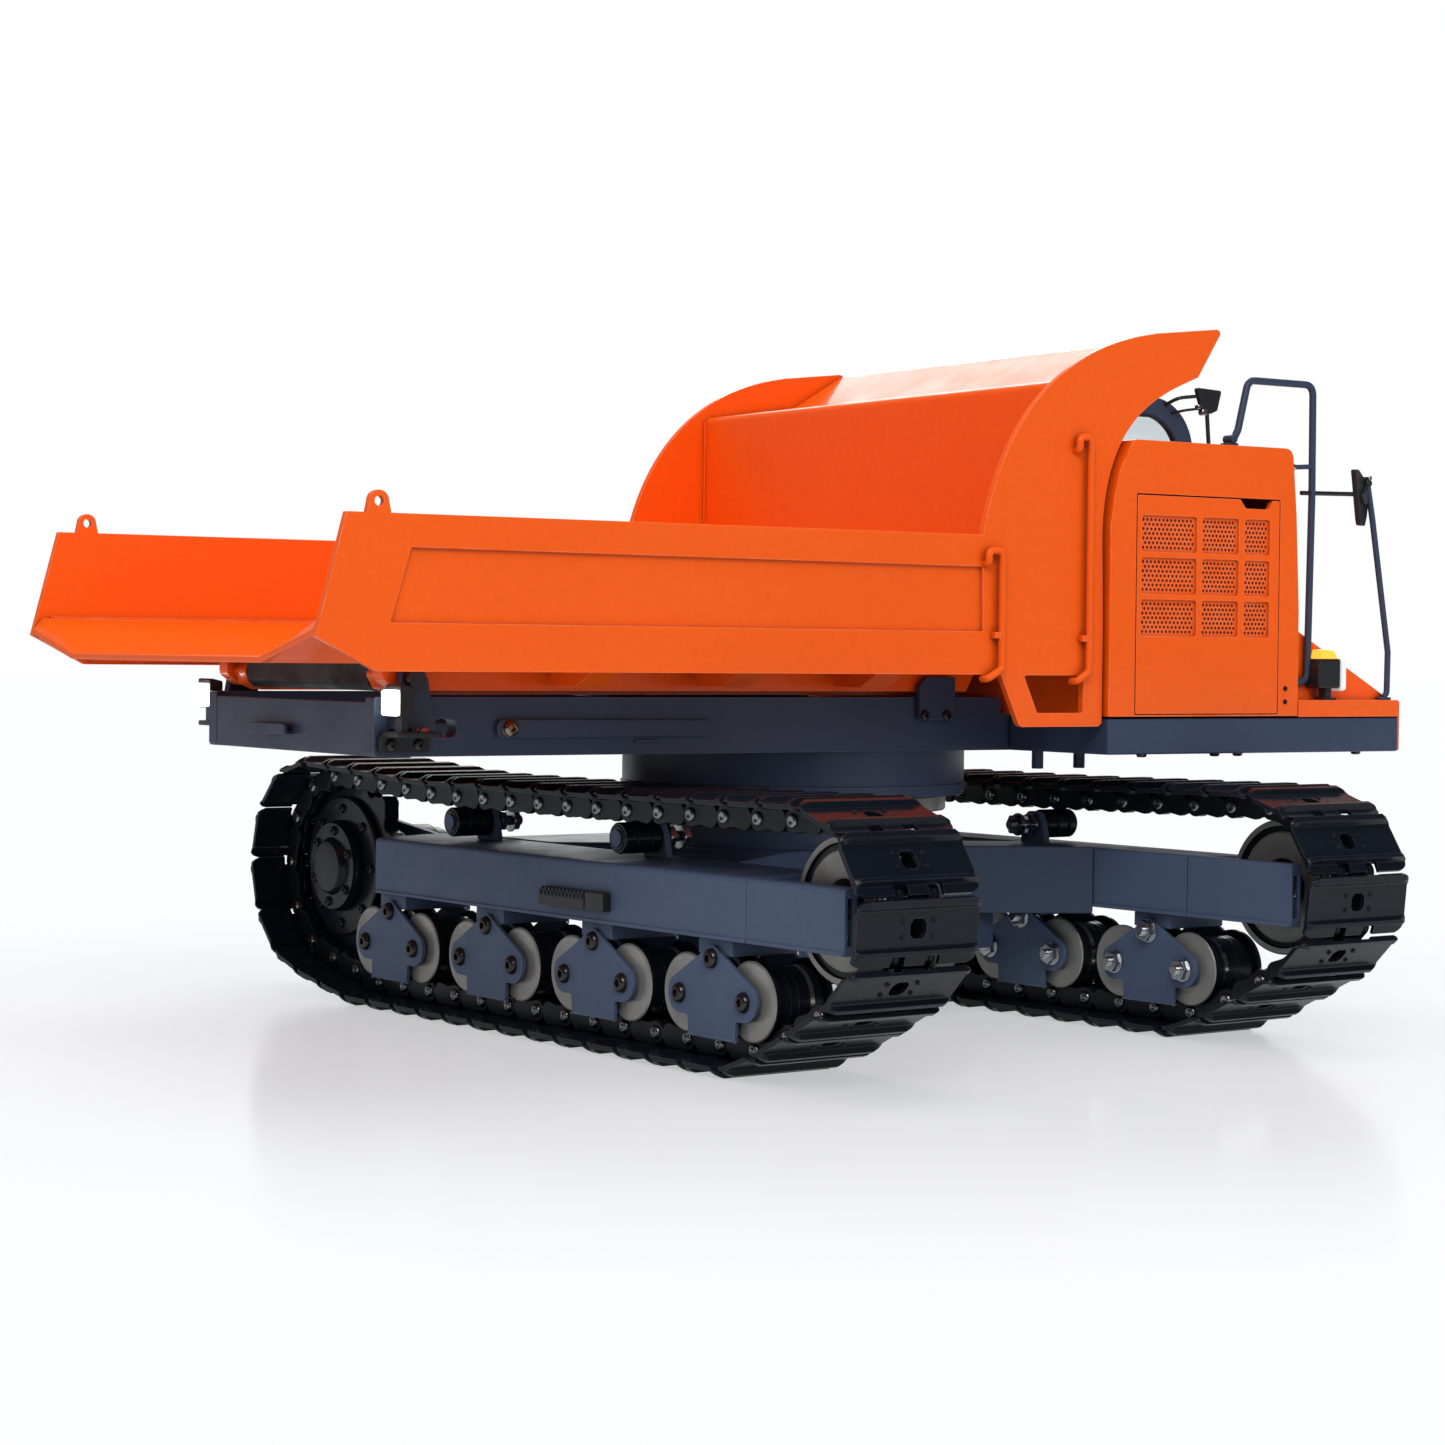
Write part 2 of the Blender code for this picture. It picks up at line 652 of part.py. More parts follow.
# ---------------------------------------------------------------- engine hood
def hood_outline(inset):
    """Side view; the upper rear edge leans forward to clear the curved guard of the bed."""
    rear, front, top = PLAT_REAR + inset, HOOD_FRONT - inset, HOOD_TOP - inset
    low = 92.8 - 3 * inset
    return [
        (rear, low), (front, low), (front, 124), (front - 1.4, 152),
        (front - 3.0, top - 3), (front - 5.2, top - 0.4),
        (rear + 8.8, top), (rear + 7.2, top - 1.2),
        (rear + 3.2, 162.5), (rear + 1.3, 156), (rear + 0.2, 150),
    ]


def build_hood():
    inner_side = SPLIT_Y - 0.5
    hood = prism(hood_outline(0), "XZ", -PLAT, inner_side)
    cut(hood, prism(hood_outline(HOOD_WALL), "XZ", -PLAT + HOOD_WALL, inner_side - HOOD_WALL))
    cut(hood, box((50.8, 106.0), (-PLAT - 2, -PLAT + HOOD_WALL + 1), (94.6, 156.2)))
    finish(hood, "engine_hood", "orange")


def build_hood_door():
    """Door with three rows of shallow panels and a notch in its top edge."""
    door = box((DOOR_X0, DOOR_X1), (-PLAT, -PLAT + 1.6), (94.9, 155.9))
    panel_height, panel_depth = 10.4, 0.6
    for xs in ((52.6, 72.2), (75.3, 87.9), (90.6, 100.2)):
        for z in (111.4, 124.4, 137.4):
            cut(door, box(xs, (-PLAT - 1, -PLAT + panel_depth), (z, z + panel_height)))
    cut(door, box((93.0, 101.5), (-PLAT - 1, -PLAT + 3), (153.4, 157)))
    finish(door, "hood_side_door", "orange", pivot=(DOOR_X0, -PLAT, 125))


def build_power_pack():
    pack = box((50, 104), (-84, -24), (92.5, 138))
    union(
        pack,
        rod((77, -54, 137), (77, -54, 158), 17, 20),
        box((56, 66), (-80, -60), (137.5, 150)),
    )
    finish(pack, "hydraulic_power_pack", "plastic")


# ---------------------------------------------------------------- cab
def cab_outline(inset, low):
    """Side view: flat floor, near upright rear, broad round from roof into windscreen."""
    points = [
        (CAB_REAR + inset, low), (CAB_FRONT - 3 - inset, low),
        (CAB_FRONT + 1.2 - inset, 135), (CAB_FRONT - 0.6 - inset, 175),
    ]
    points += arc(CAB_FRONT - 18.5, CAB_TOP - 17.5, 17.5 - inset, 8, 84, 6)
    points += arc(CAB_REAR + 15, CAB_TOP - 15, 15 - inset, 92, 176, 4)
    return points


def opening_round(radius, steps=4):
    """Upper front corner of a side opening, which follows the round of the roof."""
    return arc(CAB_FRONT - 21.5, CAB_TOP - 20.5, radius, 10, 84, steps)


def window_outline():
    points = [(CAB_REAR + 6, 130), (CAB_FRONT - 6, 130), (CAB_FRONT - 6, 172)]
    rear_corner = arc(CAB_REAR + 16, CAB_TOP - 16, 10, 92, 176, 3)
    return points + opening_round(14.5, 5) + rear_corner


def doorway(inset):
    rear, low = CAB_DOOR_X + inset, CAB_LOW + 4 + inset
    points = [(rear, low), (144 - inset, low), (146.2 - inset, 172)]
    return points + opening_round(15 - inset) + [(rear, CAB_TOP - 5.6 - inset)]


def build_cab():
    """Cab shell with its mirror on the hood side."""
    cab = prism(cab_outline(0, CAB_LOW), "XZ", CAB_Y0, CAB_Y1)
    cavity = cab_outline(CAB_WALL, CAB_LOW - 5)
    cut(cab, prism(cavity, "XZ", CAB_Y0 + CAB_WALL, CAB_Y1 - CAB_WALL))
    cut(
        cab,
        prism(window_outline(), "XZ", CAB_Y0 - 2, CAB_Y0 + 5),
        box((CAB_FRONT - 22, CAB_FRONT + 6), (CAB_Y0 + 7, CAB_Y1 - 7), (112, 180)),
        box((CAB_REAR - 3, CAB_REAR + 6), (CAB_Y0 + 8, CAB_Y1 - 8), (128, 176)),
        prism(doorway(0), "XZ", CAB_Y1 - 5, CAB_Y1 + 2),
    )
    mirror_y = CAB_Y0 - 6
    bracket = [(139, CAB_Y0 + 2, 190.8), (139, mirror_y, 193.2), (150, mirror_y, 194.5)]
    stay = [(151.4, mirror_y, 190), (155.0, mirror_y, 150), (150.0, CAB_Y0 + 1.6, 134)]
    union(
        cab,
        tube(rounded(bracket, 3, 3), 0.6),
        box((148.6, 151.0), (mirror_y - 2.6, mirror_y + 2.6), (187.4, 197.4)),
        tube(stay, 0.7),
    )
    finish(cab, "cab_shell", "slate")


def build_cab_glass():
    """Liner inside the shell, open at the bottom and at the doorway."""
    outer = CAB_WALL + GAP
    inner = outer + 1
    glass = prism(cab_outline(outer, CAB_LOW + 2), "XZ", CAB_Y0 + outer, CAB_Y1 - outer)
    cut(
        glass,
        prism(cab_outline(inner, CAB_LOW - 5), "XZ", CAB_Y0 + inner, CAB_Y1 - inner),
        box((82, 147.5), (CAB_Y1 - 7, CAB_Y1 + 2), (CAB_LOW - 2, 190)),
    )
    finish(glass, "cab_glass", "glass")


def build_cab_door():
    pane = [(88, 128), (140.5, 128), (142.2, 171), *opening_round(11), (88, CAB_TOP - 9.5)]
    door = prism(doorway(GAP), "XZ", CAB_Y1 - CAB_WALL, CAB_Y1, holes=[pane])
    finish(door, "cab_door", "slate", pivot=(CAB_DOOR_X + GAP, CAB_Y1, 140))


def build_seat():
    seat = box((82, 106), (28, 56), (CAB_LOW, 106))
    union(
        seat,
        box((80, 112), (24, 60), (105.5, 113)),  # cushion
        prism([(78, 112), (86, 112), (81, 150), (74, 148)], "XZ", 25, 59),  # backrest
        rod((130, 42, CAB_LOW + 1.2), (124, 42, 124), 2.2, 10),  # column
        box((81, 131), (41, 43), (CAB_LOW, 100)),  # strip that joins seat and column
        rod((124.6, 42, 122), (123.4, 42, 125), 9, 14),  # disc on the column
    )
    finish(seat, "operator_seat", "seat")


# ---------------------------------------------------------------- handrail and lamps
def build_handrail():
    y, foot_z = HANDRAIL_Y, DECK_HIGH + 0.3
    hoop = [
        (92.0, y, 172.5), (94.5, y, 176), (98.4, y, 190.4),
        (125.3, y, 190.4), (125.6, y, 158), (122.6, y, foot_z),
    ]
    rail = tube(rounded(hoop, 5, 3), 1.1, resolution=2)
    union(
        rail,
        tube([(124.5, y, 159.4), (147.6, y, 159.4)], 0.8),  # cross bar
        tube([(147.0, y, 161.5), (149.0, y, 150), (155.2, y, foot_z)], 0.95),  # front post
        box((142.6, 145.2), (y - 4.4, y + 4.4), (151.5, 167.5)),  # mirror
    )
    finish(rail, "handrail_with_mirror", "slate")


def build_headlight():
    lamp = box((125.0, 136.0), (-96.4, -90.4), (101.4, 110.4))
    union(lamp, box((129, 132), (-95, -92), (DECK_HIGH + GAP, 102)))
    finish(lamp, "headlight", "plastic")


def build_tail_lamp(side, word):
    """Lamp on a stem, and the angle bracket beside the chassis rail that carries it."""
    low, high = mirrored(side, RAIL_Y + 3.2, RAIL_Y + 11.5)
    lamp = box((-166.0, -160.6), (low, high), (92.8, 100.4))
    union(
        lamp,
        box((-165.6, -153), mirrored(side, RAIL_Y + GAP, RAIL_Y + 11.5), (87.4, 88.8)),
        box((-164, -162), (low + 2, high - 2), (88.2, 93.6)),
        box((-165.4, -153.2), mirrored(side, RAIL_Y + GAP, RAIL_Y + 1.8), (83.2, 88.0)),
    )
    finish(lamp, f"tail_lamp_{word}", "plastic")


# ---------------------------------------------------------------- dump bed, one welded piece
# x, z control points of the curved guard at the front of each bed side
GUARD_OUTER = ((-2.8, 143.0), (8.2, 196.3), (51.7, 200.5), (59.2, 202.2))
GUARD_INNER = ((75.0, 190.5), (61.3, 184.9), (40.3, 178.4), (39.8, 144.0))
LUG_X, LUG_Z = -187.7, 145.8  # pierced lug on the top edge, near the tail
RIB_XS = (-112, -66, -20)
GRAB_HANDLES = (  # x of the foot, x of the grip, bottom z, top z
    (29.6, 33.8, 102.8, 171.2),
    (-2.2, 2.6, 103.4, 138.6),
)


def bed_side_outline():
    return [  # x, z
        (-204.5, 112.9), (-188.3, BED_BOTTOM), (3.9, BED_BOTTOM),
        (10.6, 90.5), (11.5, 90.0), (39.4, 90.0), (40.4, 90.9), (40.4, 120),
        *reversed(bezier(GUARD_INNER, 7)),
        (83.4, 203.6), (82.3, 204.8),
        *reversed(bezier(GUARD_OUTER, 9)),
        (-184.4, BED_TOP), (-184.9, LUG_Z),
        *arc(LUG_X, LUG_Z, 2.7, 0, 180, 5),
        (-191.0, BED_TOP), (-196.5, BED_TOP),
    ]


def add_shell(bed):
    """The two sides, and the headboard with the canopy that runs forward from its top."""
    foot_hole = [(12.1, 104.4), (33.5, 104.4), (33.3, 93.9), (17.0, 93.9)]
    holes = [foot_hole, arc(LUG_X, LUG_Z, 1.2, 0, 315, 7)]
    for side, _ in SIDES:
        ys = mirrored(side, BED_INNER, BED_HALF)
        union(bed, prism(bed_side_outline(), "XZ", *ys, holes=holes))
    face = HEADBOARD_X + 1.8
    headboard = [  # x, z
        (HEADBOARD_X, 106.6), (face, 106.6), (face, 185.4), (63.4, 190.6),
        (82.3, 202.2), (81.6, 203.6), (62.8, 192.4), (HEADBOARD_X, 187.2),
    ]
    union(bed, prism(headboard, "YZ" if False else "XZ", *both(BED_INNER + 0.5)))


def add_underside(bed):
    """Long beams, cross ribs and the cylinder clevis under the floor."""
    weld = FLOOR_LOW + 0.4  # height that parts reach into the floor sheet
    beam = [  # x, z
        (-160.5, weld), (-162.6, 103.4), (-160.6, 99.6),
        (-157.0, BEAM_LOW), (26.0, BEAM_LOW), (30.0, weld),
    ]
    # y, z: deepest beside the chassis rail, running out under the sloping side of the floor
    rib = [
        (RAIL_Y + 3.0, 100.5), (68.0, 100.5), (86.0, 109.0), (86.0, 112.0),
        (FLOOR_HALF + 1.0, FLOOR_LOW + 0.8), (RAIL_Y + 3.0, FLOOR_LOW + 0.8),
    ]
    pin_x = CYL_ROD[0]
    clevis = [(pin_x - 8, weld), *arc(*CYL_ROD, 3.2, 200, 340, 5), (pin_x + 8, weld)]
    for side, _ in SIDES:
        union(bed, prism(beam, "XZ", *mirrored(side, 38.0, 45.5)))
        for x in RIB_XS:
            union(bed, prism([(side * y, z) for y, z in rib], "YZ", x - 4.5, x + 4.5))
        union(bed, prism(clevis, "XZ", *mirrored(side, 3.9, 6.4)))
    union(bed, box((-60, -54), both(38.5), (101.5, weld)))  # tie between the beams
    cut(bed, cross_rod(HINGE_X, HINGE_Z, both(50), HINGE_BORE, 12))
    union(bed, cross_rod(*CYL_ROD, both(5), 1.4, 10))


def add_grab_handles(bed):
    """Round handles on the near side."""
    root_y, grip_y = -BED_HALF + 0.6, -BED_HALF - 1.8
    for foot_x, grip_x, low, high in GRAB_HANDLES:
        path = [
            (foot_x, root_y, high), (foot_x, grip_y, high), (grip_x, grip_y, high - 2.5),
            (grip_x, grip_y, low + 2.5), (foot_x, grip_y, low), (foot_x, root_y, low),
        ]
        union(bed, tube(rounded(path, 1.5, 2), 1.0))


def build_bed():
    # y, z of the floor with its two sloping sides, as one bent sheet
    edge, lip, crease = BED_INNER + 0.6, BED_INNER - 0.4, FLOOR_HALF - 0.5
    floor = [
        (-edge, 112.6), (-FLOOR_HALF, FLOOR_LOW), (FLOOR_HALF, FLOOR_LOW), (edge, 112.6),
        (edge, FOLD_Z), (lip, FOLD_Z), (crease, FLOOR_HIGH),
        (-crease, FLOOR_HIGH), (-lip, FOLD_Z), (-edge, FOLD_Z),
    ]
    bed = prism(floor, "YZ", -204.2, HEADBOARD_X + 0.5)
    add_shell(bed)
    add_underside(bed)
    add_grab_handles(bed)
    finish(bed, "dump_bed", "orange", pivot=(HINGE_X, 0, HINGE_Z))


# ---------------------------------------------------------------- dump cylinder
BASE_PIN = Vector((CYL_BASE[0], 0, CYL_BASE[1]))
ROD_PIN = Vector((CYL_ROD[0], 0, CYL_ROD[1]))
WAY = (ROD_PIN - BASE_PIN).normalized()  # along the cylinder, towards the tail


def build_barrel():
    barrel = rod(BASE_PIN + WAY * 3.0, BASE_PIN + WAY * 72, 5.0, 18)
    half, radius, bore = 5.4, 3.6, 1.9
    profile = [(radius, half), (radius, -half), (bore, -half), (bore, half)]
    move = Matrix.Translation((BASE_PIN + LIFT) * MM) @ Matrix.Rotation(math.pi / 2, 4, "X")
    union(barrel, turned(profile, 14, move))
    cut(
        barrel,
        cross_rod(*CYL_BASE, both(9), bore, 14),
        rod(BASE_PIN + WAY * 8, BASE_PIN + WAY * 75, 3.4, 14),
    )
    finish(barrel, "dump_cylinder_barrel", "plastic", pivot=BASE_PIN)


def capsule(first, first_r, second, second_r, steps=5):
    """Outline round two circles, in the plane of the bed's side view."""
    turn = math.degrees(math.atan2(second.z - first.z, second.x - first.x))
    first_end = arc(first.x, first.z, first_r, turn + 90, turn + 270, steps)
    return first_end + arc(second.x, second.z, second_r, turn - 90, turn + 90, steps)


def build_piston():
    # the rod's eye is long, because the bed's pin leaves its centre by up to 4 mm
    # between the two ends of the stroke
    upward = Vector((WAY.z, 0, -WAY.x))
    drift = ROD_PIN - WAY * 3.45 + upward * 2.3
    start = BASE_PIN + WAY * 44
    piston = rod(start, ROD_PIN - WAY * 2.2, 1.9, 14)
    union(
        piston,
        rod(start, BASE_PIN + WAY * 48, 3.1, 14),
        prism(capsule(ROD_PIN, 3.0, drift, 2.6), "XZ", *both(3.4)),
    )
    cut(piston, prism(capsule(ROD_PIN, 1.8, drift, 1.8, steps=7), "XZ", *both(5)))
    finish(piston, "dump_cylinder_rod", "steel", pivot=ROD_PIN)


# ---------------------------------------------------------------- assembly
build_carbody()
build_slew_ring()
for track_side, track_word in SIDES:
    build_track(track_side, track_word)
build_chassis()
build_hinge_shaft()
build_platform()
build_deck()
build_hood()
build_hood_door()
build_power_pack()
build_cab()
build_cab_glass()
build_cab_door()
build_seat()
build_handrail()
build_headlight()
for lamp_side, lamp_word in SIDES:
    build_tail_lamp(lamp_side, lamp_word)
build_bed()
build_barrel()
build_piston()
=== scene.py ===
# A tracked dump carrier whose upper body is slewed about a quarter turn.
# The undercarriage's tracks run along its own Y, with the idlers at -Y; UNDER turns it a few
# degrees about Z. The upper body lies along X: cab and platform at +X, the bed's tail at -X.
# Its engine hood is at -Y, the camera's side, and its cab at +Y. "near" is -X on the
# undercarriage and -Y on the upper body. Sizes are mm, heights above the ground unless said.
import math

import bmesh
import bpy
import numpy as np
from mathutils import Matrix, Vector


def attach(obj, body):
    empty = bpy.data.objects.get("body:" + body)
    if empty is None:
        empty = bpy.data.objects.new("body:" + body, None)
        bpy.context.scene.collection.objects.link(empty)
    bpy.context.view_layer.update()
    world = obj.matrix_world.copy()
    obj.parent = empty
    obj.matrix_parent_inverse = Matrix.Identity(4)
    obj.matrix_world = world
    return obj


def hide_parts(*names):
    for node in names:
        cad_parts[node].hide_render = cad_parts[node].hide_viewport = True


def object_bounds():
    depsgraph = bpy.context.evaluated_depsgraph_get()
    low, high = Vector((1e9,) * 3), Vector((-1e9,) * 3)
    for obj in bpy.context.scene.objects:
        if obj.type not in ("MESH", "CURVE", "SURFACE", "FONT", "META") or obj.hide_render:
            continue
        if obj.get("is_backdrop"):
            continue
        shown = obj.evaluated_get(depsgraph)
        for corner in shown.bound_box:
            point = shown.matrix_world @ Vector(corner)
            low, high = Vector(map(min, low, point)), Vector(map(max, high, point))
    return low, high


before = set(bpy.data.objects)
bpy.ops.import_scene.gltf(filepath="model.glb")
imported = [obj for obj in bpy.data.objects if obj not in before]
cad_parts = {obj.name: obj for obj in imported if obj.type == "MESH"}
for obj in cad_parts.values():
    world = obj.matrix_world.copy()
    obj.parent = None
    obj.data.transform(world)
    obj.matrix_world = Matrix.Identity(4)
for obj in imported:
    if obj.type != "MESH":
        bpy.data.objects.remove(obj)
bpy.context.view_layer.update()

MM = 0.001
GROUND = Vector((0, 0, -22.0))  # the ground in the CAD frame
UNDER = Matrix.Rotation(math.radians(3.276), 4, "Z")
UPRIGHT = Matrix.Rotation(-math.pi / 2, 4, "Y")  # stands a turned part's X axis up
SIDES = ((-1, "near"), (1, "far"))

# driving sizes of the undercarriage
GAUGE = 79.6  # from the middle to each track's middle
SHOE_HALF = 19.75
TEETH, PITCH = 12, 14.8
SPROCKET_Y, SPROCKET_Z = 124.5, 40.8
SPROCKET_R = PITCH / (2 * math.sin(math.pi / TEETH))
IDLER_Y, IDLER_Z, IDLER_R = -127.6, 45.0, 22.3
BOGIE_Y = (-84.0, -28.6, 26.8, 82.2)
OFFSET = 14.1  # from a bogie's middle to each of its two rollers
ROLLER_Z, TREAD = 19.4, 9.1
CARRIER_Y, CARRIER_Z = (-30.4, 57.7), 58.1
PIN_Z, TOP_Z = 6.6, 66.1  # chain pins on the ground run and over the carrier rollers


# ------------------------------------------------------------------ mesh helpers
def at(point):
    """A point in mm above the ground, as metres in the frame."""
    return (Vector(point) + GROUND) * MM


def link(name, data):
    obj = bpy.data.objects.new(name, data)
    bpy.context.scene.collection.objects.link(obj)
    return obj


def from_bmesh(bm, name="part"):
    mesh = bpy.data.meshes.new(name)
    bm.to_mesh(mesh)
    bm.free()
    return link(name, mesh)


def evaluated(obj):
    graph = bpy.context.evaluated_depsgraph_get()
    return bpy.data.meshes.new_from_object(obj.evaluated_get(graph))


def drop(obj):
    bpy.data.objects.remove(obj, do_unlink=True)


def mesh_of(obj):
    """The object's mesh, kept as a master for stamping."""
    mesh = obj.data
    drop(obj)
    return mesh


def apply(obj):
    mesh = evaluated(obj)
    obj.modifiers.clear()
    obj.data = mesh
    return obj


def weld(bm, flat=None):
    """Merges doubled points and, given an angle in degrees, faces flatter than it."""
    bmesh.ops.remove_doubles(bm, verts=bm.verts, dist=2e-6)
    if flat:
        bmesh.ops.dissolve_limit(
            bm, angle_limit=math.radians(flat), verts=bm.verts, edges=bm.edges
        )


def curve_mesh(curve, rings, closed, matrix=None, flat=None):
    """The welded mesh of a curve through rings of points in metres."""
    for ring in rings:
        spline = curve.splines.new("POLY")
        spline.points.add(len(ring) - 1)
        for point, place in zip(spline.points, ring):
            point.co = (*place, 1)
        spline.use_cyclic_u = closed
    obj = link("curve", curve)
    mesh = evaluated(obj)
    drop(obj)
    bm = bmesh.new()
    bm.from_mesh(mesh)
    if matrix:
        bmesh.ops.transform(bm, matrix=matrix, verts=bm.verts)
    weld(bm, flat)
    bmesh.ops.recalc_face_normals(bm, faces=bm.faces)
    bm.to_mesh(mesh)
    bm.free()
    return mesh


# each plane's two axes and its normal
PLANES = {
    "XZ": ((1, 0, 0), (0, 0, 1), (0, -1, 0)),
    "YZ": ((0, 1, 0), (0, 0, 1), (1, 0, 0)),
    "XY": ((1, 0, 0), (0, 1, 0), (0, 0, 1)),
}


def prism(outline, plane, ends, holes=()):
    """An outline on a plane, filled and extruded between two ends across the plane."""
    low, high = sorted(ends)
    curve = bpy.data.curves.new("outline", "CURVE")
    curve.dimensions = "2D"
    curve.fill_mode = "BOTH"
    curve.extrude = (high - low) / 2 * MM
    across_plane = Vector(map(abs, PLANES[plane][2]))
    matrix = Matrix(PLANES[plane]).transposed().to_4x4()
    matrix.translation = (low + high) / 2 * MM * across_plane + GROUND * MM
    rings = [[(a * MM, b * MM, 0) for a, b in ring] for ring in (outline, *holes)]
    return link("prism", curve_mesh(curve, rings, True, matrix, flat=0.4))


def tube(points, radius, resolution=4):
    curve = bpy.data.curves.new("path", "CURVE")
    curve.dimensions = "3D"
    curve.bevel_depth = radius * MM
    curve.bevel_resolution = resolution
    curve.use_fill_caps = True
    return link("tube", curve_mesh(curve, [[at(point) for point in points]], False))


def box(xs, ys, zs):
    low, high = (Vector(corner) for corner in zip(*map(sorted, (xs, ys, zs))))
    bm = bmesh.new()
    bmesh.ops.create_cube(bm, size=1)
    size = Matrix.Diagonal((*((high - low) * MM), 1))
    matrix = Matrix.Translation(at((low + high) / 2)) @ size
    bmesh.ops.transform(bm, matrix=matrix, verts=bm.verts)
    return from_bmesh(bm)


def rod(start, end, radius, segments=32):
    start, end = at(start), at(end)
    axis = end - start
    bm = bmesh.new()
    bmesh.ops.create_cone(
        bm, cap_ends=True, segments=segments,
        radius1=radius * MM, radius2=radius * MM, depth=axis.length,
    )
    turn = axis.to_track_quat("Z", "Y").to_matrix().to_4x4()
    bmesh.ops.transform(bm, matrix=Matrix.Translation((start + end) / 2) @ turn, verts=bm.verts)
    return from_bmesh(bm)


def cut_corner(corner, back, ahead, half, radius, most, steps):
    """The curve round a corner, starting at most this share of each leg away from it."""
    reach = min(radius / math.tan(half), back.length * most, ahead.length * most)
    start, end = corner + back.normalized() * reach, corner + ahead.normalized() * reach
    ways = [i / steps for i in range(steps + 1)]
    return [start.lerp(corner, way).lerp(corner.lerp(end, way), way) for way in ways]


def rounded(points, radius, steps=8):
    """An open path with its corners rounded."""
    points = [Vector(point) for point in points]
    path = [points[0]]
    for before, corner, after in zip(points, points[1:], points[2:]):
        back, ahead = before - corner, after - corner
        half = back.normalized().angle(ahead.normalized()) / 2
        path += cut_corner(corner, back, ahead, half, radius, 0.48, steps)
    return path + [points[-1]]


def softened(ring, radius, steps=4):
    """A closed outline with its corners rounded; a radius may be given per corner."""
    ring = [Vector(point) for point in ring]
    radii = radius if isinstance(radius, list) else [radius] * len(ring)
    soft = []
    for i, (corner, corner_radius) in enumerate(zip(ring, radii)):
        back, ahead = ring[i - 1] - corner, ring[(i + 1) % len(ring)] - corner
        half = max(back.angle(ahead) / 2, 0.05)
        if corner_radius <= 0 or half > 1.53:
            soft.append(corner)
        else:
            soft += cut_corner(corner, back, ahead, half, corner_radius, 0.45, steps)
    return soft


def rect(across, up):
    (a, b), (low, high) = across, up
    return [(a, low), (b, low), (b, high), (a, high)]


def polar(radius, degrees):
    angle = math.radians(degrees)
    return radius * math.cos(angle), radius * math.sin(angle)


def arc(x, y, radius, start, end, steps):
    offsets = [polar(radius, start + (end - start) * i / steps) for i in range(steps + 1)]
    return [(x + dx, y + dy) for dx, dy in offsets]


def hexagon(radius, x=0, y=0):
    return arc(x, y, radius, 0, 300, 5)


def bezier(start, pull_start, pull_end, end, steps):
    a, b, c, d = map(Vector, (start, pull_start, pull_end, end))
    ways = [i / steps for i in range(steps + 1)]
    return [
        tuple(a * (1 - t) ** 3 + b * 3 * (1 - t) ** 2 * t + c * 3 * (1 - t) * t * t + d * t**3)
        for t in ways
    ]


def loft(sections):
    """A closed skin through sections of points in metres."""
    bm = bmesh.new()
    rows = [[bm.verts.new(point) for point in section] for section in sections]
    for row, after in zip(rows, rows[1:]):
        for i in range(len(row)):
            k = (i + 1) % len(row)
            bm.faces.new((row[i], row[k], after[k], after[i]))
    bm.faces.new(rows[0])
    bm.faces.new(list(reversed(rows[-1])))
    bmesh.ops.recalc_face_normals(bm, faces=bm.faces)
    return from_bmesh(bm)


def revolve(profile, segments, kinds=None):
    """A closed (offset, radius) profile turned about X, centred at the origin.

    kinds gives one material index per profile edge.
    """
    bm = bmesh.new()
    rows = []
    for j in range(segments):
        angle = 2 * math.pi * j / segments
        cos, sin = math.cos(angle), math.sin(angle)
        rows.append([bm.verts.new((o * MM, r * MM * cos, r * MM * sin)) for o, r in profile])
    for j in range(segments):
        row, after = rows[j], rows[(j + 1) % segments]
        for i in range(len(profile)):
            k = (i + 1) % len(profile)
            face = bm.faces.new((row[i], row[k], after[k], after[i]))
            face.material_index = kinds[i] if kinds else 0
    bmesh.ops.remove_doubles(bm, verts=bm.verts, dist=1e-7)
    bmesh.ops.dissolve_degenerate(bm, edges=bm.edges, dist=1e-8)
    bmesh.ops.recalc_face_normals(bm, faces=bm.faces)
    return from_bmesh(bm)


def boolean(base, other, operation):
    modifier = base.modifiers.new("bool", "BOOLEAN")
    modifier.operation = operation
    modifier.solver = "EXACT"
    modifier.object = other
    apply(base)
    drop(other)


def cut(base, *others):
    for other in others:
        boolean(base, other, "DIFFERENCE")


def gathered(items):
    """One object from (mesh, matrix) items; each stays its own closed shell."""
    verts, faces, kinds, base = [], [], [], 0
    for mesh, matrix in items:
        places = np.empty(len(mesh.vertices) * 3)
        mesh.vertices.foreach_get("co", places)
        matrix = np.array(matrix)
        verts.append(places.reshape(-1, 3) @ matrix[:3, :3].T + matrix[:3, 3])
        flip = np.linalg.det(matrix[:3, :3]) < 0
        for polygon in mesh.polygons:
            face = tuple(i + base for i in polygon.vertices)
            faces.append(face[::-1] if flip else face)
            kinds.append(polygon.material_index)
        base += len(mesh.vertices)
    mesh = bpy.data.meshes.new("gathered")
    mesh.from_pydata(np.concatenate(verts).tolist(), [], faces)
    mesh.polygons.foreach_set("material_index", kinds)
    mesh.update()
    return link("gathered", mesh)


def join(*objs):
    whole = gathered([(obj.data, obj.matrix_world.copy()) for obj in objs])
    for obj in objs:
        drop(obj)
    return whole


def stamp(master, matrices):
    return gathered([(master, matrix) for matrix in matrices])


def bevelled(obj, width, segments=2, angle=32):
    modifier = obj.modifiers.new("bevel", "BEVEL")
    modifier.width = width * MM
    modifier.segments = segments
    modifier.limit_method = "ANGLE"
    modifier.angle_limit = math.radians(angle)
    modifier.miter_outer = "MITER_ARC" if segments > 1 else "MITER_SHARP"
    modifier.use_clamp_overlap = True
    return apply(obj)


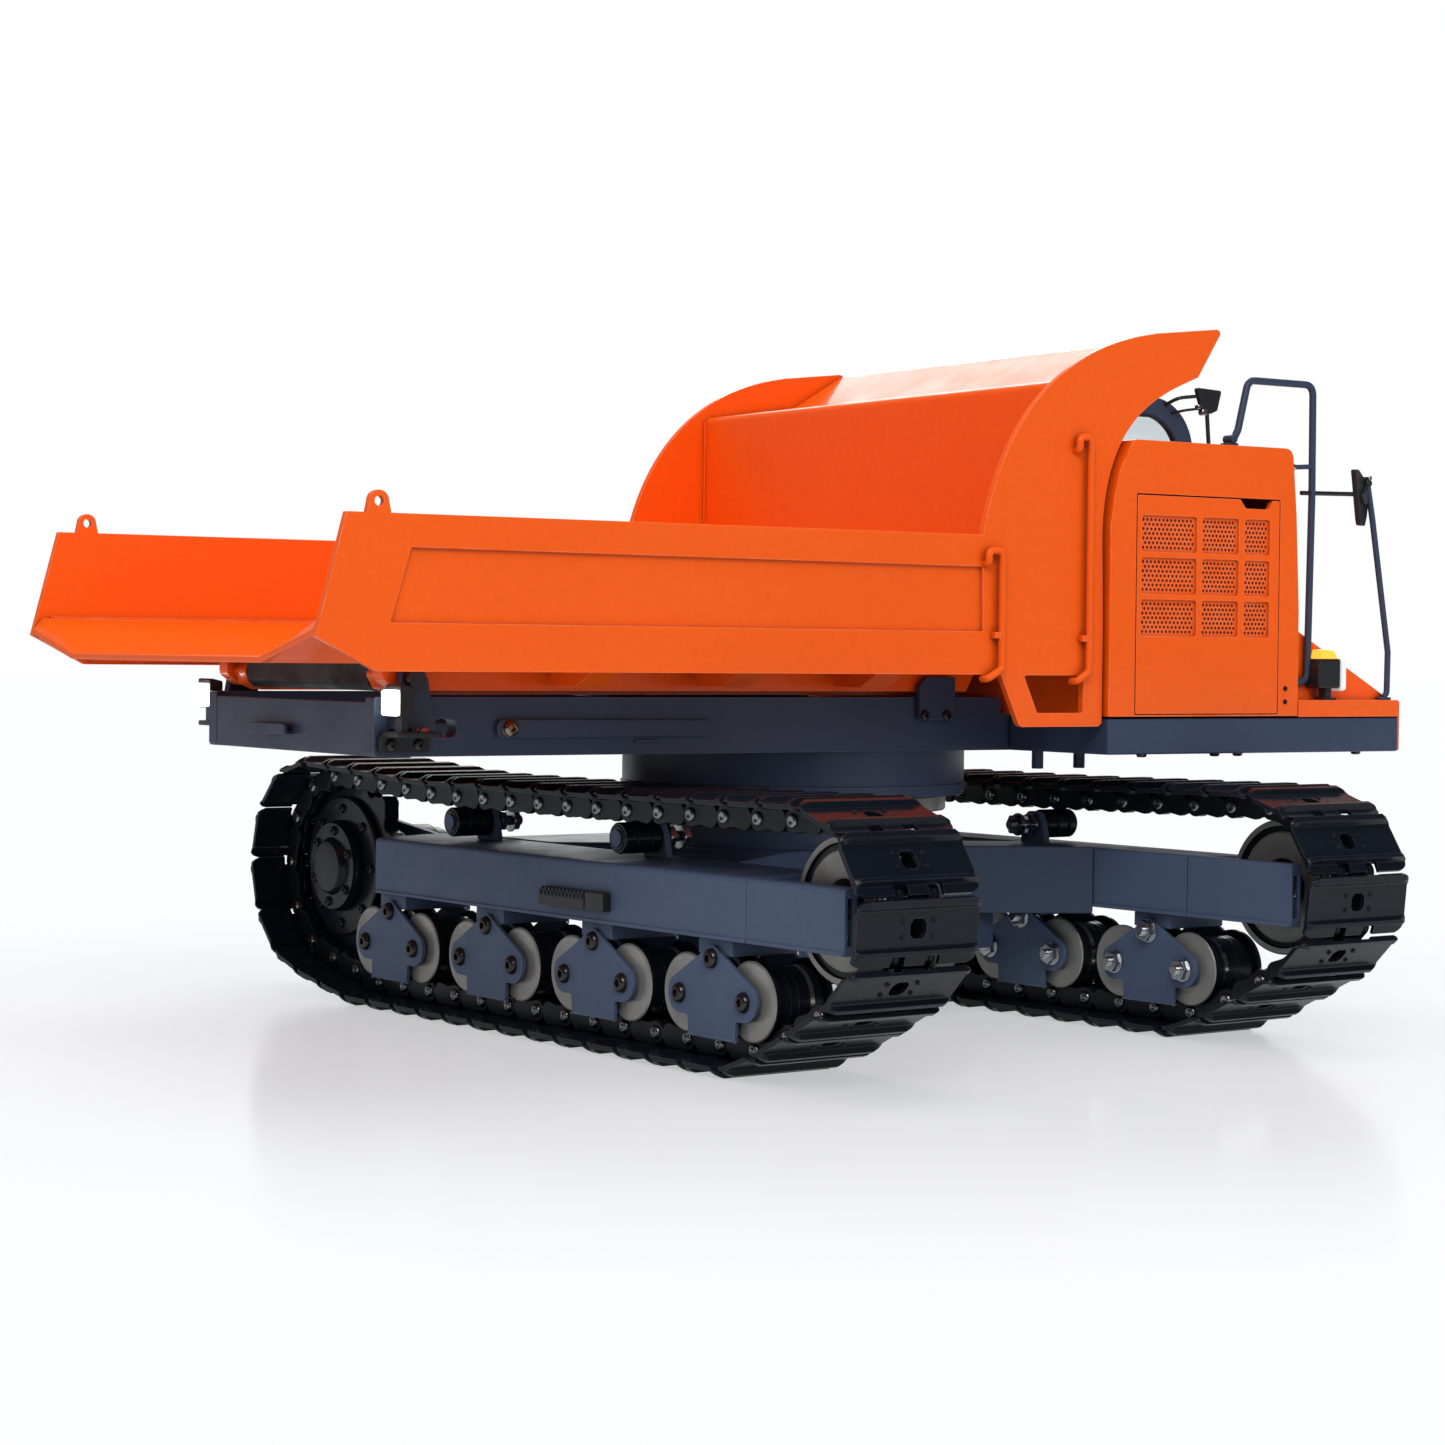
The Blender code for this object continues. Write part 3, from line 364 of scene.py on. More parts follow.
def slab(ring, corner, steps, plane, ends, edge, segments=2):
    """A prism whose outline has rounded corners and whose edges are bevelled."""
    return bevelled(prism(softened(ring, corner, steps), plane, ends), edge, segments)


def placed(obj, matrix):
    obj.data.transform(matrix)
    return obj


def under(obj):
    return placed(obj, UNDER)


def at_origin(obj):
    """Lifts a part so its heights count from the frame's origin, as masters do."""
    return placed(obj, Matrix.Translation(-GROUND * MM))


def piece(obj, name, material, body="upper", replaces=(), sharp=40, pivot=None):
    """Names a piece, gives it materials and shading, and rides it on its CAD body.

    A pivot becomes the object's origin.
    """
    obj.name = obj.data.name = name
    mesh = obj.data
    kinds = [0] * len(mesh.polygons)
    mesh.polygons.foreach_get("material_index", kinds)
    mesh.materials.clear()
    for each in material if isinstance(material, list) else [material]:
        mesh.materials.append(each)
    # clearing the materials also clears the faces' indices
    last = len(mesh.materials) - 1
    mesh.polygons.foreach_set("material_index", [min(kind, last) for kind in kinds])
    if pivot is not None:
        mesh.transform(pivot.inverted())
        obj.matrix_world = pivot
    mesh.shade_smooth()
    mesh.set_sharp_from_angle(angle=math.radians(sharp))
    normals = obj.modifiers.new("normals", "WEIGHTED_NORMAL")
    normals.keep_sharp = True
    normals.weight = 80
    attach(obj, body)
    if replaces:
        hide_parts(*replaces)


# ------------------------------------------------------------------ shader helpers
class Nodes:
    """The node tree of a material or world, emptied down to its output."""

    def __init__(self, owner, output):
        owner.use_nodes = True
        self.owner, self.tree = owner, owner.node_tree
        self.tree.nodes.clear()
        self.output = self.tree.nodes.new(output)

    def feed(self, node, inputs):
        """Sets each input to a value, or links it to another node's socket."""
        for key, value in inputs.items():
            socket = node.inputs[key]
            if isinstance(value, bpy.types.NodeSocket):
                self.tree.links.new(value, socket)
            elif socket.type == "RGBA":
                socket.default_value = (*value, 1)
            else:
                socket.default_value = value

    def add(self, kind, inputs=None, output=0, **settings):
        """Adds a node and returns one of its outputs."""
        node = self.tree.nodes.new("ShaderNode" + kind)
        for key, value in settings.items():
            setattr(node, key, value)
        self.feed(node, inputs or {})
        return node.outputs[output]

    def ramp(self, value, to, over=(0.3, 0.7), smooth=False):
        """Maps a value that runs over one range to another range."""
        ends = {"From Min": over[0], "From Max": over[1], "To Min": to[0], "To Max": to[1]}
        kind = "SMOOTHSTEP" if smooth else "LINEAR"
        return self.add("MapRange", {**ends, "Value": value}, interpolation_type=kind)


class Shader(Nodes):
    """A material with one Principled surface."""

    def __init__(self, name):
        super().__init__(bpy.data.materials.new(name), "ShaderNodeOutputMaterial")
        self.normal = None
        self.base = self.add("BsdfPrincipled")
        self.feed(self.output, {0: self.base})

    def surface(self, inputs):
        self.feed(self.base.node, inputs)

    def noise(self, scale, detail=3.0, rough=0.55, stretch=None):
        source = self.add("TexCoord", output="Object")
        if stretch:
            source = self.add("Mapping", {"Vector": source, "Scale": stretch})
        values = {"Scale": scale, "Detail": detail, "Roughness": rough, "Vector": source}
        return self.add("TexNoise", values)

    def mix(self, factor, low, high):
        inputs = {0: factor, 6: low, 7: high}
        return self.add("Mix", inputs, output=2, data_type="RGBA")

    def bump(self, height, strength, depth):
        """Lays a relief, its depth in mm, over the reliefs laid before it."""
        inputs = {"Strength": strength, "Distance": depth * MM, "Height": height}
        if self.normal:
            inputs["Normal"] = self.normal
        self.normal = self.add("Bump", inputs)
        self.surface({"Normal": self.normal})


def shade(colour, factor):
    return tuple(channel * factor for channel in colour)


def edge_wear_and_highlight(shader, radius, amount):
    """How much outer edges within a radius in mm are lightened, in patches: a painted edge
    highlight that also stands for worn paint; none on flats.
    """
    soft = shader.add("Bevel", {"Radius": radius * MM}, samples=4)
    normal = shader.add("NewGeometry", output="Normal")
    facing_same = shader.add(
        "VectorMath", {0: soft, 1: normal}, output="Value", operation="DOT_PRODUCT"
    )
    turned = shader.add("Math", {0: 1.0, 1: facing_same}, operation="SUBTRACT")
    patches = shader.noise(scale=160.0, detail=5.0, rough=0.7)
    return shader.add(
        "Math",
        {
            0: shader.ramp(turned, to=(0.0, 1.0), over=(0.03, 0.35)),
            1: shader.ramp(patches, to=(0.15 * amount, amount), over=(0.35, 0.62)),
        },
        operation="MULTIPLY",
    )


def paint(
    name, colour, light, roughness, coat, edge, edge_wear_and_highlight_amount, specular,
    peel=0.05, grain=0.04, coat_rough=0.07,
):
    """Paint clouded from colour to light; edge is a lighter colour laid on outer edges, a painted
    edge highlight that also stands for worn paint; peel is orange peel.
    """
    shader = Shader(name)
    clouds = shader.ramp(shader.noise(scale=9.0, detail=4.0), to=(0.0, 1.0))
    specks = shader.noise(scale=420.0, detail=2.0)
    specks = shader.ramp(specks, to=(0.0, 0.14), over=(0.35, 0.65))
    base = shader.mix(clouds, colour, light)
    base = shader.mix(specks, base, shade(colour, 0.72))
    # outer edges lightened towards the edge colour: a painted edge highlight, patchy like worn
    # paint
    base = shader.mix(edge_wear_and_highlight(shader, radius=0.55, amount=edge_wear_and_highlight_amount), base, edge)
    # painted shade: the paint is darkened in seams, recesses and inner corners, where shade falls
    painted_crevice_shade = shader.add("AmbientOcclusion", {"Distance": 3.0 * MM}, output="AO", samples=4)
    painted_crevice_shade = shader.ramp(painted_crevice_shade, to=(0.8, 0.0), over=(0.25, 0.85))
    base = shader.mix(painted_crevice_shade, base, shade(colour, 0.3))
    dull = shader.noise(scale=60.0, detail=5.0, rough=0.6)
    shader.surface({
        "Base Color": base,
        "Roughness": shader.ramp(dull, to=(roughness * 0.8, roughness * 1.3)),
        "Specular IOR Level": specular,
        "Coat Weight": coat,
        "Coat Roughness": coat_rough,
    })
    shader.bump(shader.noise(scale=330.0, detail=1.5), strength=peel, depth=0.30)
    shader.bump(shader.noise(scale=2600.0, detail=2.0), strength=grain, depth=0.05)
    return shader.owner


def metal(name, colour, roughness, rings=0.0, metallic=1.0, scratch=0.0):
    """Metal. With rings, circular turning marks run round the object's own X axis."""
    shader = Shader(name)
    dark = shade(colour, 0.66)
    stains = shader.noise(scale=55.0, detail=5.0, rough=0.65)
    base = shader.mix(shader.ramp(stains, to=(0.0, 0.75)), colour, dark)
    shader.bump(shader.noise(scale=1900.0), strength=0.08, depth=0.04)
    if rings:
        place = shader.add("TexCoord", output="Object")
        parts = shader.add("SeparateXYZ", {0: place}).node.outputs
        flat = shader.add("CombineXYZ", {1: parts[1], 2: parts[2]})
        length = shader.add("VectorMath", {0: flat}, output="Value", operation="LENGTH")
        line = shader.add(
            "TexNoise", {"Scale": 900.0, "Detail": 3.0, "W": length}, noise_dimensions="1D"
        )
        shader.bump(line, strength=rings, depth=0.10)
        base = shader.mix(shader.ramp(line, to=(0.0, 0.4), over=(0.35, 0.65)), base, dark)
        tangent = shader.add("Tangent", direction_type="RADIAL", axis="X")
        shader.surface({"Anisotropic": 0.55, "Tangent": tangent})
    if scratch:
        lines = shader.noise(scale=700.0, detail=4.0, rough=0.6, stretch=(0.06, 1.0, 1.0))
        shader.bump(lines, strength=scratch, depth=0.08)
    dull = shader.noise(scale=140.0, detail=4.0, rough=0.6)
    shader.surface({
        "Base Color": base,
        "Metallic": metallic,
        "Roughness": shader.ramp(dull, to=(roughness * 0.75, roughness * 1.4)),
    })
    return shader.owner


def plastic(name, colour, roughness, grain=0.25):
    shader = Shader(name)
    light = tuple(min(1.0, channel * 1.5 + 0.002) for channel in colour)
    clouds = shader.ramp(shader.noise(scale=35.0, detail=4.0), to=(0.0, 1.0))
    dull = shader.ramp(shader.noise(scale=90.0), to=(roughness * 0.8, roughness * 1.25))
    shader.surface({"Base Color": shader.mix(clouds, colour, light), "Roughness": dull})
    shader.bump(shader.noise(scale=1500.0, detail=2.5), strength=grain, depth=0.06)
    return shader.owner


def leather(name, colour):
    shader = Shader(name)
    place = shader.add("TexCoord", output="Object")
    cells = shader.add(
        "TexVoronoi", {"Scale": 900.0, "Vector": place},
        output="Distance", feature="DISTANCE_TO_EDGE",
    )
    clouds = shader.ramp(shader.noise(scale=70.0), to=(0.0, 1.0))
    shader.surface({
        "Base Color": shader.mix(clouds, colour, shade(colour, 1.9)),
        "Roughness": shader.ramp(shader.noise(scale=200.0), to=(0.38, 0.6)),
    })
    shader.bump(cells, strength=0.5, depth=0.12)
    shader.bump(shader.noise(scale=2200.0), strength=0.15, depth=0.04)
    return shader.owner


def lens(name, colour, glow, strength):
    """A ribbed lamp lens that glows."""
    shader = Shader(name)
    place = shader.add("TexCoord", output="Object")
    ribs = shader.add(
        "TexWave", {"Scale": 260.0, "Vector": place}, output="Fac", bands_direction="Y"
    )
    lines = shader.ramp(ribs, to=(0.0, 0.35), over=(0.0, 1.0))
    shader.surface({
        "Base Color": shader.mix(lines, colour, shade(colour, 0.7)),
        "Roughness": 0.12,
        "Coat Weight": 0.7,
        "Emission Color": glow,
        "Emission Strength": strength,
    })
    shader.bump(ribs, strength=0.3, depth=0.12)
    return shader.owner


def glazing(name):
    shader = Shader(name)
    shader.surface({
        "Base Color": (0.93, 0.96, 0.97),
        "Transmission Weight": 1.0,
        "IOR": 1.02,
        "Coat Weight": 0.5,
        "Roughness": shader.ramp(shader.noise(scale=40.0), to=(0.01, 0.05)),
    })
    shader.bump(shader.noise(scale=25.0, detail=1.0), strength=0.02, depth=0.1)
    return shader.owner


# ------------------------------------------------------------------ materials
ORANGE = paint(
    "orange_enamel", (0.90, 0.104, 0.003), light=(0.94, 0.116, 0.004), roughness=0.42,
    coat=0.30, edge=(1.0, 0.42, 0.24), edge_wear_and_highlight_amount=0.75, specular=0.16,
)
SLATE = paint(
    "slate_powder_coat", (0.032, 0.049, 0.092), light=(0.039, 0.058, 0.106), roughness=0.40,
    coat=0.10, edge=(0.17, 0.21, 0.30), edge_wear_and_highlight_amount=0.6, specular=0.28,
    peel=0.10, grain=0.10, coat_rough=0.2,
)
# the slate paint made lighter for the undercarriage's beams, bogies and forks: painted light, not
# a different finish
LIGHTENED_SLATE = paint(
    "slate_cast_enamel", (0.070, 0.100, 0.168), light=(0.080, 0.114, 0.190), roughness=0.44,
    coat=0.05, edge=(0.20, 0.25, 0.35), edge_wear_and_highlight_amount=0.6, specular=0.16,
    peel=0.12, grain=0.10, coat_rough=0.25,
)
BLACK = paint(
    "track_black_enamel", (0.004, 0.006, 0.011), light=(0.007, 0.010, 0.017), roughness=0.27,
    coat=0.12, edge=(0.10, 0.115, 0.14), edge_wear_and_highlight_amount=0.6, specular=0.20,
    peel=0.14, grain=0.06, coat_rough=0.1,
)
CHAIN = paint(
    "chain_black_oxide", (0.004, 0.006, 0.010), light=(0.007, 0.009, 0.015), roughness=0.32,
    coat=0.10, edge=(0.10, 0.11, 0.13), edge_wear_and_highlight_amount=0.6, specular=0.20,
    peel=0.12, grain=0.08, coat_rough=0.14,
)
STEEL = metal("turned_steel", (0.37, 0.37, 0.35), roughness=0.34, rings=0.6, metallic=0.5)
POLISHED = metal("rail_polished_steel", (0.58, 0.55, 0.50), roughness=0.16, rings=0.25)
PINSTEEL = metal("pin_steel", (0.30, 0.31, 0.32), roughness=0.22)
OXIDE = metal("black_oxide_screw", (0.075, 0.070, 0.070), roughness=0.26, metallic=0.9)
ZINC = metal("zinc_plate", (0.62, 0.64, 0.66), roughness=0.22)
RODSTEEL = metal("ground_rod_steel", (0.70, 0.70, 0.70), roughness=0.10, scratch=0.1)
BRONZED = metal("bronzed_steel", (0.34, 0.26, 0.18), roughness=0.22)
PLASTIC = plastic("black_moulded_plastic", (0.010, 0.011, 0.013), roughness=0.38)
RUBBER = plastic("black_rubber", (0.008, 0.008, 0.009), roughness=0.6, grain=0.4)
# a dark shaded orange: painted shade for the inside of the hood, seen through the vent holes
VENT_SHADE_SHEET = plastic("vent_backing", (0.16, 0.016, 0.004), roughness=0.6)
SEAT = leather("seat_vinyl_grain", (0.018, 0.018, 0.020))
WHITE_LENS = lens("lit_white_lens", (0.93, 0.95, 0.93), glow=(0.96, 1.0, 0.93), strength=9.0)
CLEAR_LENS = lens("clear_lens", (0.85, 0.87, 0.88), glow=(1, 1, 1), strength=0.25)
AMBER = lens("amber_lens", (0.95, 0.33, 0.02), glow=(1.0, 0.42, 0.05), strength=1.2)
MIRROR = metal("mirror_glass", (0.82, 0.84, 0.86), roughness=0.03)
GLASS = glazing("cab_glazing")


# ------------------------------------------------------------------ fasteners, along local X
def origin_prism(ring, low, high):
    """Extruded along local X from a (y, z) outline, about the origin."""
    return at_origin(prism(ring, "YZ", (low, high)))


def screw_master(radius, height, socket):
    """A domed screw head with a hexagon socket."""
    foot = radius - 0.15
    dome = [(0, 0.0), (0, radius)]
    for degrees in range(0, 91, 15):
        angle = math.radians(degrees)
        drawn_in = (foot - radius * 0.52) * (1 - math.cos(angle))
        dome.append((height * math.sin(angle), foot - drawn_in))
    obj = revolve(dome + [(height, 0.0)], 28)
    cut(obj, origin_prism(hexagon(socket), height * 0.28, height + 1))
    return mesh_of(bevelled(obj, 0.09, 1, 50))


def nut_master():
    """A hexagon nut on a washer, with a threaded bolt end standing proud."""
    across_flats, height, thread, proud, thread_pitch = 5.5, 2.6, 1.5, 1.5, 0.5
    outline = hexagon(across_flats / 2 / math.cos(math.pi / 6))
    body = bevelled(origin_prism(outline, 0.3, height), 0.22)
    bore = thread + 0.2
    washer = revolve([(0, bore), (0, 3.4), (0.1, 3.5), (0.45, 3.5), (0.5, 3.4), (0.5, bore)], 28)
    stud = [(0, 0.0), (0, thread)]
    for turn in range(8):
        x = thread_pitch * turn
        stud += [(x + 0.12, thread), (x + 0.25, thread - 0.14), (x + 0.38, thread)]
    stud += [(height + proud, thread - 0.3), (height + proud, 0.0)]
    return mesh_of(join(body, washer, revolve(stud, 20)))


SCREW = screw_master(2.85, 1.65, 1.15)
SMALL_SCREW = screw_master(1.7, 1.0, 0.7)
NUT = nut_master()


def facing(point, direction):
    """Puts something built along +X at a point, looking along direction."""
    turn = Vector(direction).to_track_quat("X", "Z").to_matrix().to_4x4()
    return Matrix.Translation(at(point)) @ turn


def about_x(degrees, offset, radius):
    """A place on a circle round X, seen from a master's origin."""
    spot = Matrix.Translation(Vector((offset, radius, 0)) * MM)
    return Matrix.Rotation(math.radians(degrees), 4, "X") @ spot


def fasten(name, spots, master=SMALL_SCREW, material=OXIDE, body="upper"):
    piece(stamp(master, spots), name, material, body, sharp=35)


# ------------------------------------------------------------------ undercarriage places
def out(side, offset):
    """X of a place this far outwards of a track's middle."""
    return side * (GAUGE + offset)


def span(side, start, end):
    return out(side, start), out(side, end)


def across(side, ends, y, z, radius, segments):
    """A rod across the track."""
    start, end = span(side, *ends)
    return rod((start, y, z), (end, y, z), radius, segments)


def track_frame(side, y, z, turned=False):
    """A frame on the track's middle, turned half round about Z where asked."""
    matrix = UNDER @ Matrix.Translation(at((out(side, 0), y, z)))
    return matrix @ Matrix.Rotation(math.pi, 4, "Z") if turned else matrix


# ------------------------------------------------------------------ track chain
def tangent_angle(point, centre, radius, turn):
    """Where, in degrees, the tangent from a point touches a circle."""
    way = Vector(centre) - Vector(point)
    touch = turn * math.acos(radius / way.length)
    return math.degrees(math.atan2(way.y, way.x) + math.pi + touch) % 360


def pin_path():
    """(y, z) every 0.01 mm, from the sprocket's top round the idler to the sprocket's foot."""
    sprocket, idler = (SPROCKET_Y, SPROCKET_Z), (IDLER_Y, IDLER_Z)
    rear = (BOGIE_Y[-1] + OFFSET, PIN_Z)
    left, right = (CARRIER_Y[0], TOP_Z), (CARRIER_Y[1], TOP_Z)
    bend = Vector((BOGIE_Y[0] - OFFSET, ROLLER_Z))
    bend_r = ROLLER_Z - PIN_Z
    gap = Vector(idler) - bend
    leave_sprocket = tangent_angle(right, sprocket, SPROCKET_R, -1)
    meet_idler = tangent_angle(left, idler, IDLER_R, 1)
    opening = math.acos((bend_r - IDLER_R) / gap.length)
    leave_idler = math.degrees(math.atan2(gap.y, gap.x) + opening)
    meet_sprocket = tangent_angle(rear, sprocket, SPROCKET_R, 1) - 360
    loop = np.array(
        arc(*sprocket, SPROCKET_R, 90, leave_sprocket, 40)
        + [right, left]
        + arc(*idler, IDLER_R, meet_idler, leave_idler, 200)
        + arc(*bend, bend_r, leave_idler, 270, 60)
        + [rear]
        + arc(*sprocket, SPROCKET_R, meet_sprocket, -60, 20)
    )
    run = np.concatenate([[0], np.cumsum(np.linalg.norm(np.diff(loop, axis=0), axis=1))])
    steps = np.arange(0, run[-1], 0.01)
    return np.stack([np.interp(steps, run, loop[:, 0]), np.interp(steps, run, loop[:, 1])], 1)


def walk(path, pitch):
    """Forty chords of one length along the path, and the length left over (-1 if none)."""
    index, found = 0, [path[0]]
    for _ in range(40):
        window = path[index : index + int(pitch * 140)]
        far = np.linalg.norm(window - path[index], axis=1) >= pitch
        if not far.any():
            return found, -1.0
        index += int(np.argmax(far))
        found.append(path[index])
    return found, (len(path) - 1 - index) * 0.01


def chain_pins():
    """45 pins: six on the sprocket every 30 degrees from -60 to 90, the rest by equal chords."""
    path = pin_path()
    low, high = PITCH - 0.15, PITCH + 0.15
    for _ in range(18):
        middle = (low + high) / 2
        if walk(path, middle)[1] < 0:
            high = middle
        else:
            low = middle
    pins, _ = walk(path, low)
    pins[-1] = path[-1]
    seats = [polar(SPROCKET_R, degrees) for degrees in (-30, 0, 30, 60)]
    return [tuple(pin) for pin in pins] + [(SPROCKET_Y + y, SPROCKET_Z + z) for y, z in seats]


PINS = chain_pins()


def link_frames(side):
    """For each link: x across, y along the chain, z outwards, midway between its pins."""
    frames = []
    for i, (y, z) in enumerate(PINS):
        next_y, next_z = PINS[(i + 1) % len(PINS)]
        way = Vector((next_y - y, next_z - z)).normalized()
        matrix = Matrix(((1, 0, 0), (0, way.x, way.y), (0, way.y, -way.x))).to_4x4()
        matrix.translation = at((out(side, 0), (y + next_y) / 2, (z + next_z) / 2))
        frames.append(UNDER @ matrix)
    return frames


def shoe_section(top, lead, trail):
    """(along, height) round a shoe; lead and trail draw its two ends in."""
    return [
        (-7.7 + lead, 5.25), (-7.45 + lead, top), (-5.7, top), (-4.9, 5.15), (-4.3, 4.9),
        (4.3, 4.9), (4.8, 5.15), (5.3, top), (6.5, top), (7.0, 4.75), (7.4, 4.55),
        (9.5 - trail, 4.15), (9.4 - trail, 3.15), (6.6, 3.6), (-3.7, 3.6), (-4.9, 4.7),
        (-7.6 + lead, 4.7),
    ]


def shoe_master():
    """Double-grouser shoe: jogged rim, flat plate, second grouser and a lip under the next."""
    # x, grouser top, lead, trail
    half = [(SHOE_HALF, 5.3, 1.5, 1.4), (SHOE_HALF - 0.9, 5.9, 0.6, 0.7),
            (SHOE_HALF - 2.6, 6.6, 0, 0)]
    stations = [(-x, *rest) for x, *rest in half] + half[::-1]
    obj = loft([
        [(x * MM, along * MM, height * MM) for along, height in shoe_section(*shape)]
        for x, *shape in stations
    ])
    octagon = [(-1.5, -2.5), (1.5, -2.5), (2.6, -1.3), (2.6, 1.3),
               (1.5, 2.5), (-1.5, 2.5), (-2.6, 1.3), (-2.6, -1.3)]
    hole = at_origin(prism(softened(octagon, 0.4, 2), "XY", (2, 8)))
    notches = [at_origin(box((x, x + 4.6), (6.9, 11), (2, 8))) for x in (-7.9, 3.3)]
    heels = [at_origin(box((x, x + 4.2), (-9, -6.6), (2, 5.6))) for x in (-7.7, 3.5)]
    cut(obj, hole, *notches, *heels)
    return mesh_of(bevelled(obj, 0.11, 1, 28))


def link_master():
    """A pair of offset link plates: each is outside at one pin and inside at the other."""
    parts = []
    for side in (-1, 1):
        for start, end, inner, outer in ((-7.4, 1.2, 5.85, 7.6), (-1.2, 7.4, 3.8, 5.6)):
            middle, radius = (start + end) / 2, 3.3
            ring = arc(start, 0, radius, 90, 270, 12) + [(middle, -radius + 0.75)]
            ring += arc(end, 0, radius, -90, 90, 12) + [(middle, radius - 0.1)]
            parts.append(bevelled(origin_prism(ring, side * inner, side * outer), 0.25))
        block = at_origin(box((side * 3.9, side * 7.5), (-2.6, 2.6), (-2.4, 3.55)))
        parts.append(bevelled(block, 0.3))
    return mesh_of(join(*parts))


def pin_master():
    head = [(7.5, 0.0), (7.5, 1.95), (7.9, 1.95), (8.25, 1.7), (8.5, 1.2), (8.35, 0.8), (8.2, 0.0)]
    bush = [(-3.7, 0.0), (-3.7, 2.0), (-3.5, 2.2), (3.5, 2.2), (3.7, 2.0), (3.7, 0.0)]
    other_head = [(-offset, radius) for offset, radius in head]
    return mesh_of(join(*[revolve(profile, 20) for profile in (head, other_head, bush)]))


SHOE, LINK, PIN = shoe_master(), link_master(), pin_master()
BOLT = screw_master(0.8, 0.55, 0.32)
SHOE_BOLTS = [
    Matrix.Translation(Vector((x, y, 4.9)) * MM) @ UPRIGHT
    for x in (-4.9, 4.9) for y in (-1.95, 1.95)
]

for side, word in SIDES:
    frames = link_frames(side)
    belt = [f"track_belt_{word}"]
    pins = [track_frame(side, *pin) for pin in PINS]
    bolts = [matrix @ bolt for matrix in frames for bolt in SHOE_BOLTS]
    for master, matrices, name, material, replaced in (
        (SHOE, frames, "shoes", BLACK, belt),
        (LINK, frames, "links", CHAIN, ()),
        (PIN, pins, "pins", PINSTEEL, ()),
        (BOLT, bolts, "bolts", CHAIN, ()),
    ):
        obj = stamp(master, matrices)
        piece(obj, f"track_{name}_{word}", material, "undercarriage", replaced, sharp=50)


# ------------------------------------------------------------------ wheels
def roller_mesh(waisted):
    """(offset, radius) profile of a lower roller, from its outer flange to its inner one."""
    groove = TREAD - 0.15
    ring = [(9.7, 2.2), (9.7, 9.9), (9.62, 10.35), (9.3, 10.7), (8.3, 10.7), (8.0, 10.4)]
    ring += [(8.0, TREAD), (4.4, TREAD), (4.3, groove), (3.4, groove), (3.3, TREAD), (3.0, TREAD)]
    if waisted:
        ring += [(3.0, 3.6), (-3.0, 3.6), (-3.0, TREAD), (-3.2, TREAD)]
        ring += [(-3.3, TREAD + 0.1), (-4.2, TREAD + 0.1), (-4.3, TREAD)]
    else:
        ring += [(1.6, TREAD), (1.5, TREAD - 0.12), (0.9, TREAD - 0.12), (0.8, TREAD)]
        ring += [(-2.7, TREAD), (-2.8, TREAD + 0.12), (-4.2, TREAD + 0.12), (-4.3, TREAD)]
    ring += [(-8.0, TREAD), (-8.0, 10.4), (-8.3, 10.7), (-9.3, 10.7), (-9.62, 10.35)]
    ring += [(-9.7, 9.9), (-9.7, 2.2)]
    # steel on the two end faces, polished on the band inwards of the middle
    kinds = []
    for (a, _), (b, _) in zip(ring, ring[1:] + ring[:1]):
        end_face = min(abs(a), abs(b)) >= 9.25 and a * b > 0
        band = -4.25 <= a <= -2.75 and -4.25 <= b <= -2.75
        kinds.append(2 if band else 1 if end_face else 0)
    return mesh_of(revolve(ring, 72, kinds))


def idler_mesh():
    half = [
        (9.0, 3.4), (9.0, 6.0), (3.6, 6.6), (2.5, 8.2), (2.5, 15.4), (2.1, 15.8), (2.1, 17.0),
        (3.0, 17.4), (3.0, 18.9), (2.7, 19.2),
    ]
    kinds = [0, 0, 0, 1, 1, 0, 0, 1, 1]
    ring = half + [(-offset, radius) for offset, radius in reversed(half)]
    return mesh_of(revolve(ring, 96, kinds + [1] + kinds[::-1] + [0]))


def sprocket_mesh():
    # a tooth as (degrees from its middle, height over the pin circle)
    tooth = ((-4.6, 1.2), (-3.0, 2.3), (-1.6, 2.6), (1.6, 2.6), (3.0, 2.3), (4.6, 1.2))
    ring = []
    for i in range(TEETH):
        middle = i * 30 + 15
        ring += [polar(SPROCKET_R + rise, middle + turn) for turn, rise in tooth]
        # the round seat of the next bush
        seat = math.radians(middle + 15)
        seat_y, seat_z = polar(SPROCKET_R, middle + 15)
        for k in range(9):
            angle = seat - math.pi / 2 - 0.35 - (math.pi - 0.7) * k / 8
            ring.append((seat_y + 2.55 * math.cos(angle), seat_z + 2.55 * math.sin(angle)))
    disc = bevelled(origin_prism(ring, -2.6, 2.6), 0.35)
    hub = revolve([
        (-10.8, 0), (-10.8, 14.0), (-10.3, 14.5), (6.4, 14.5), (7.2, 13.9), (8.6, 13.6),
        (8.6, 9.2), (10.3, 8.2), (10.6, 7.6), (10.6, 0),
    ], 64)
    flange = [(2.4, 12), (2.4, 21.5), (2.9, 22.0), (4.2, 22.0), (4.7, 21.5), (4.7, 12)]
    outer = stamp(SMALL_SCREW, [about_x(a, 4.7, 18.2) for a in range(0, 360, 45)])
    inner = stamp(SMALL_SCREW, [about_x(a + 22, 8.6, 11.4) for a in range(0, 360, 60)])
    return mesh_of(join(disc, hub, revolve(flange, 64), outer, inner))


def carrier_mesh():
    return mesh_of(revolve([
        (5.6, 1.6), (5.6, 3.3), (5.3, 3.6), (5.3, 4.1), (4.9, 4.4), (2.2, 4.4), (1.9, 3.9),
        (1.2, 3.9), (0.9, 4.4), (-2.4, 4.4), (-2.7, 3.9), (-3.4, 3.9), (-3.7, 4.4), (-6.4, 4.4),
        (-6.9, 4.0), (-6.9, 1.6),
    ], 48))


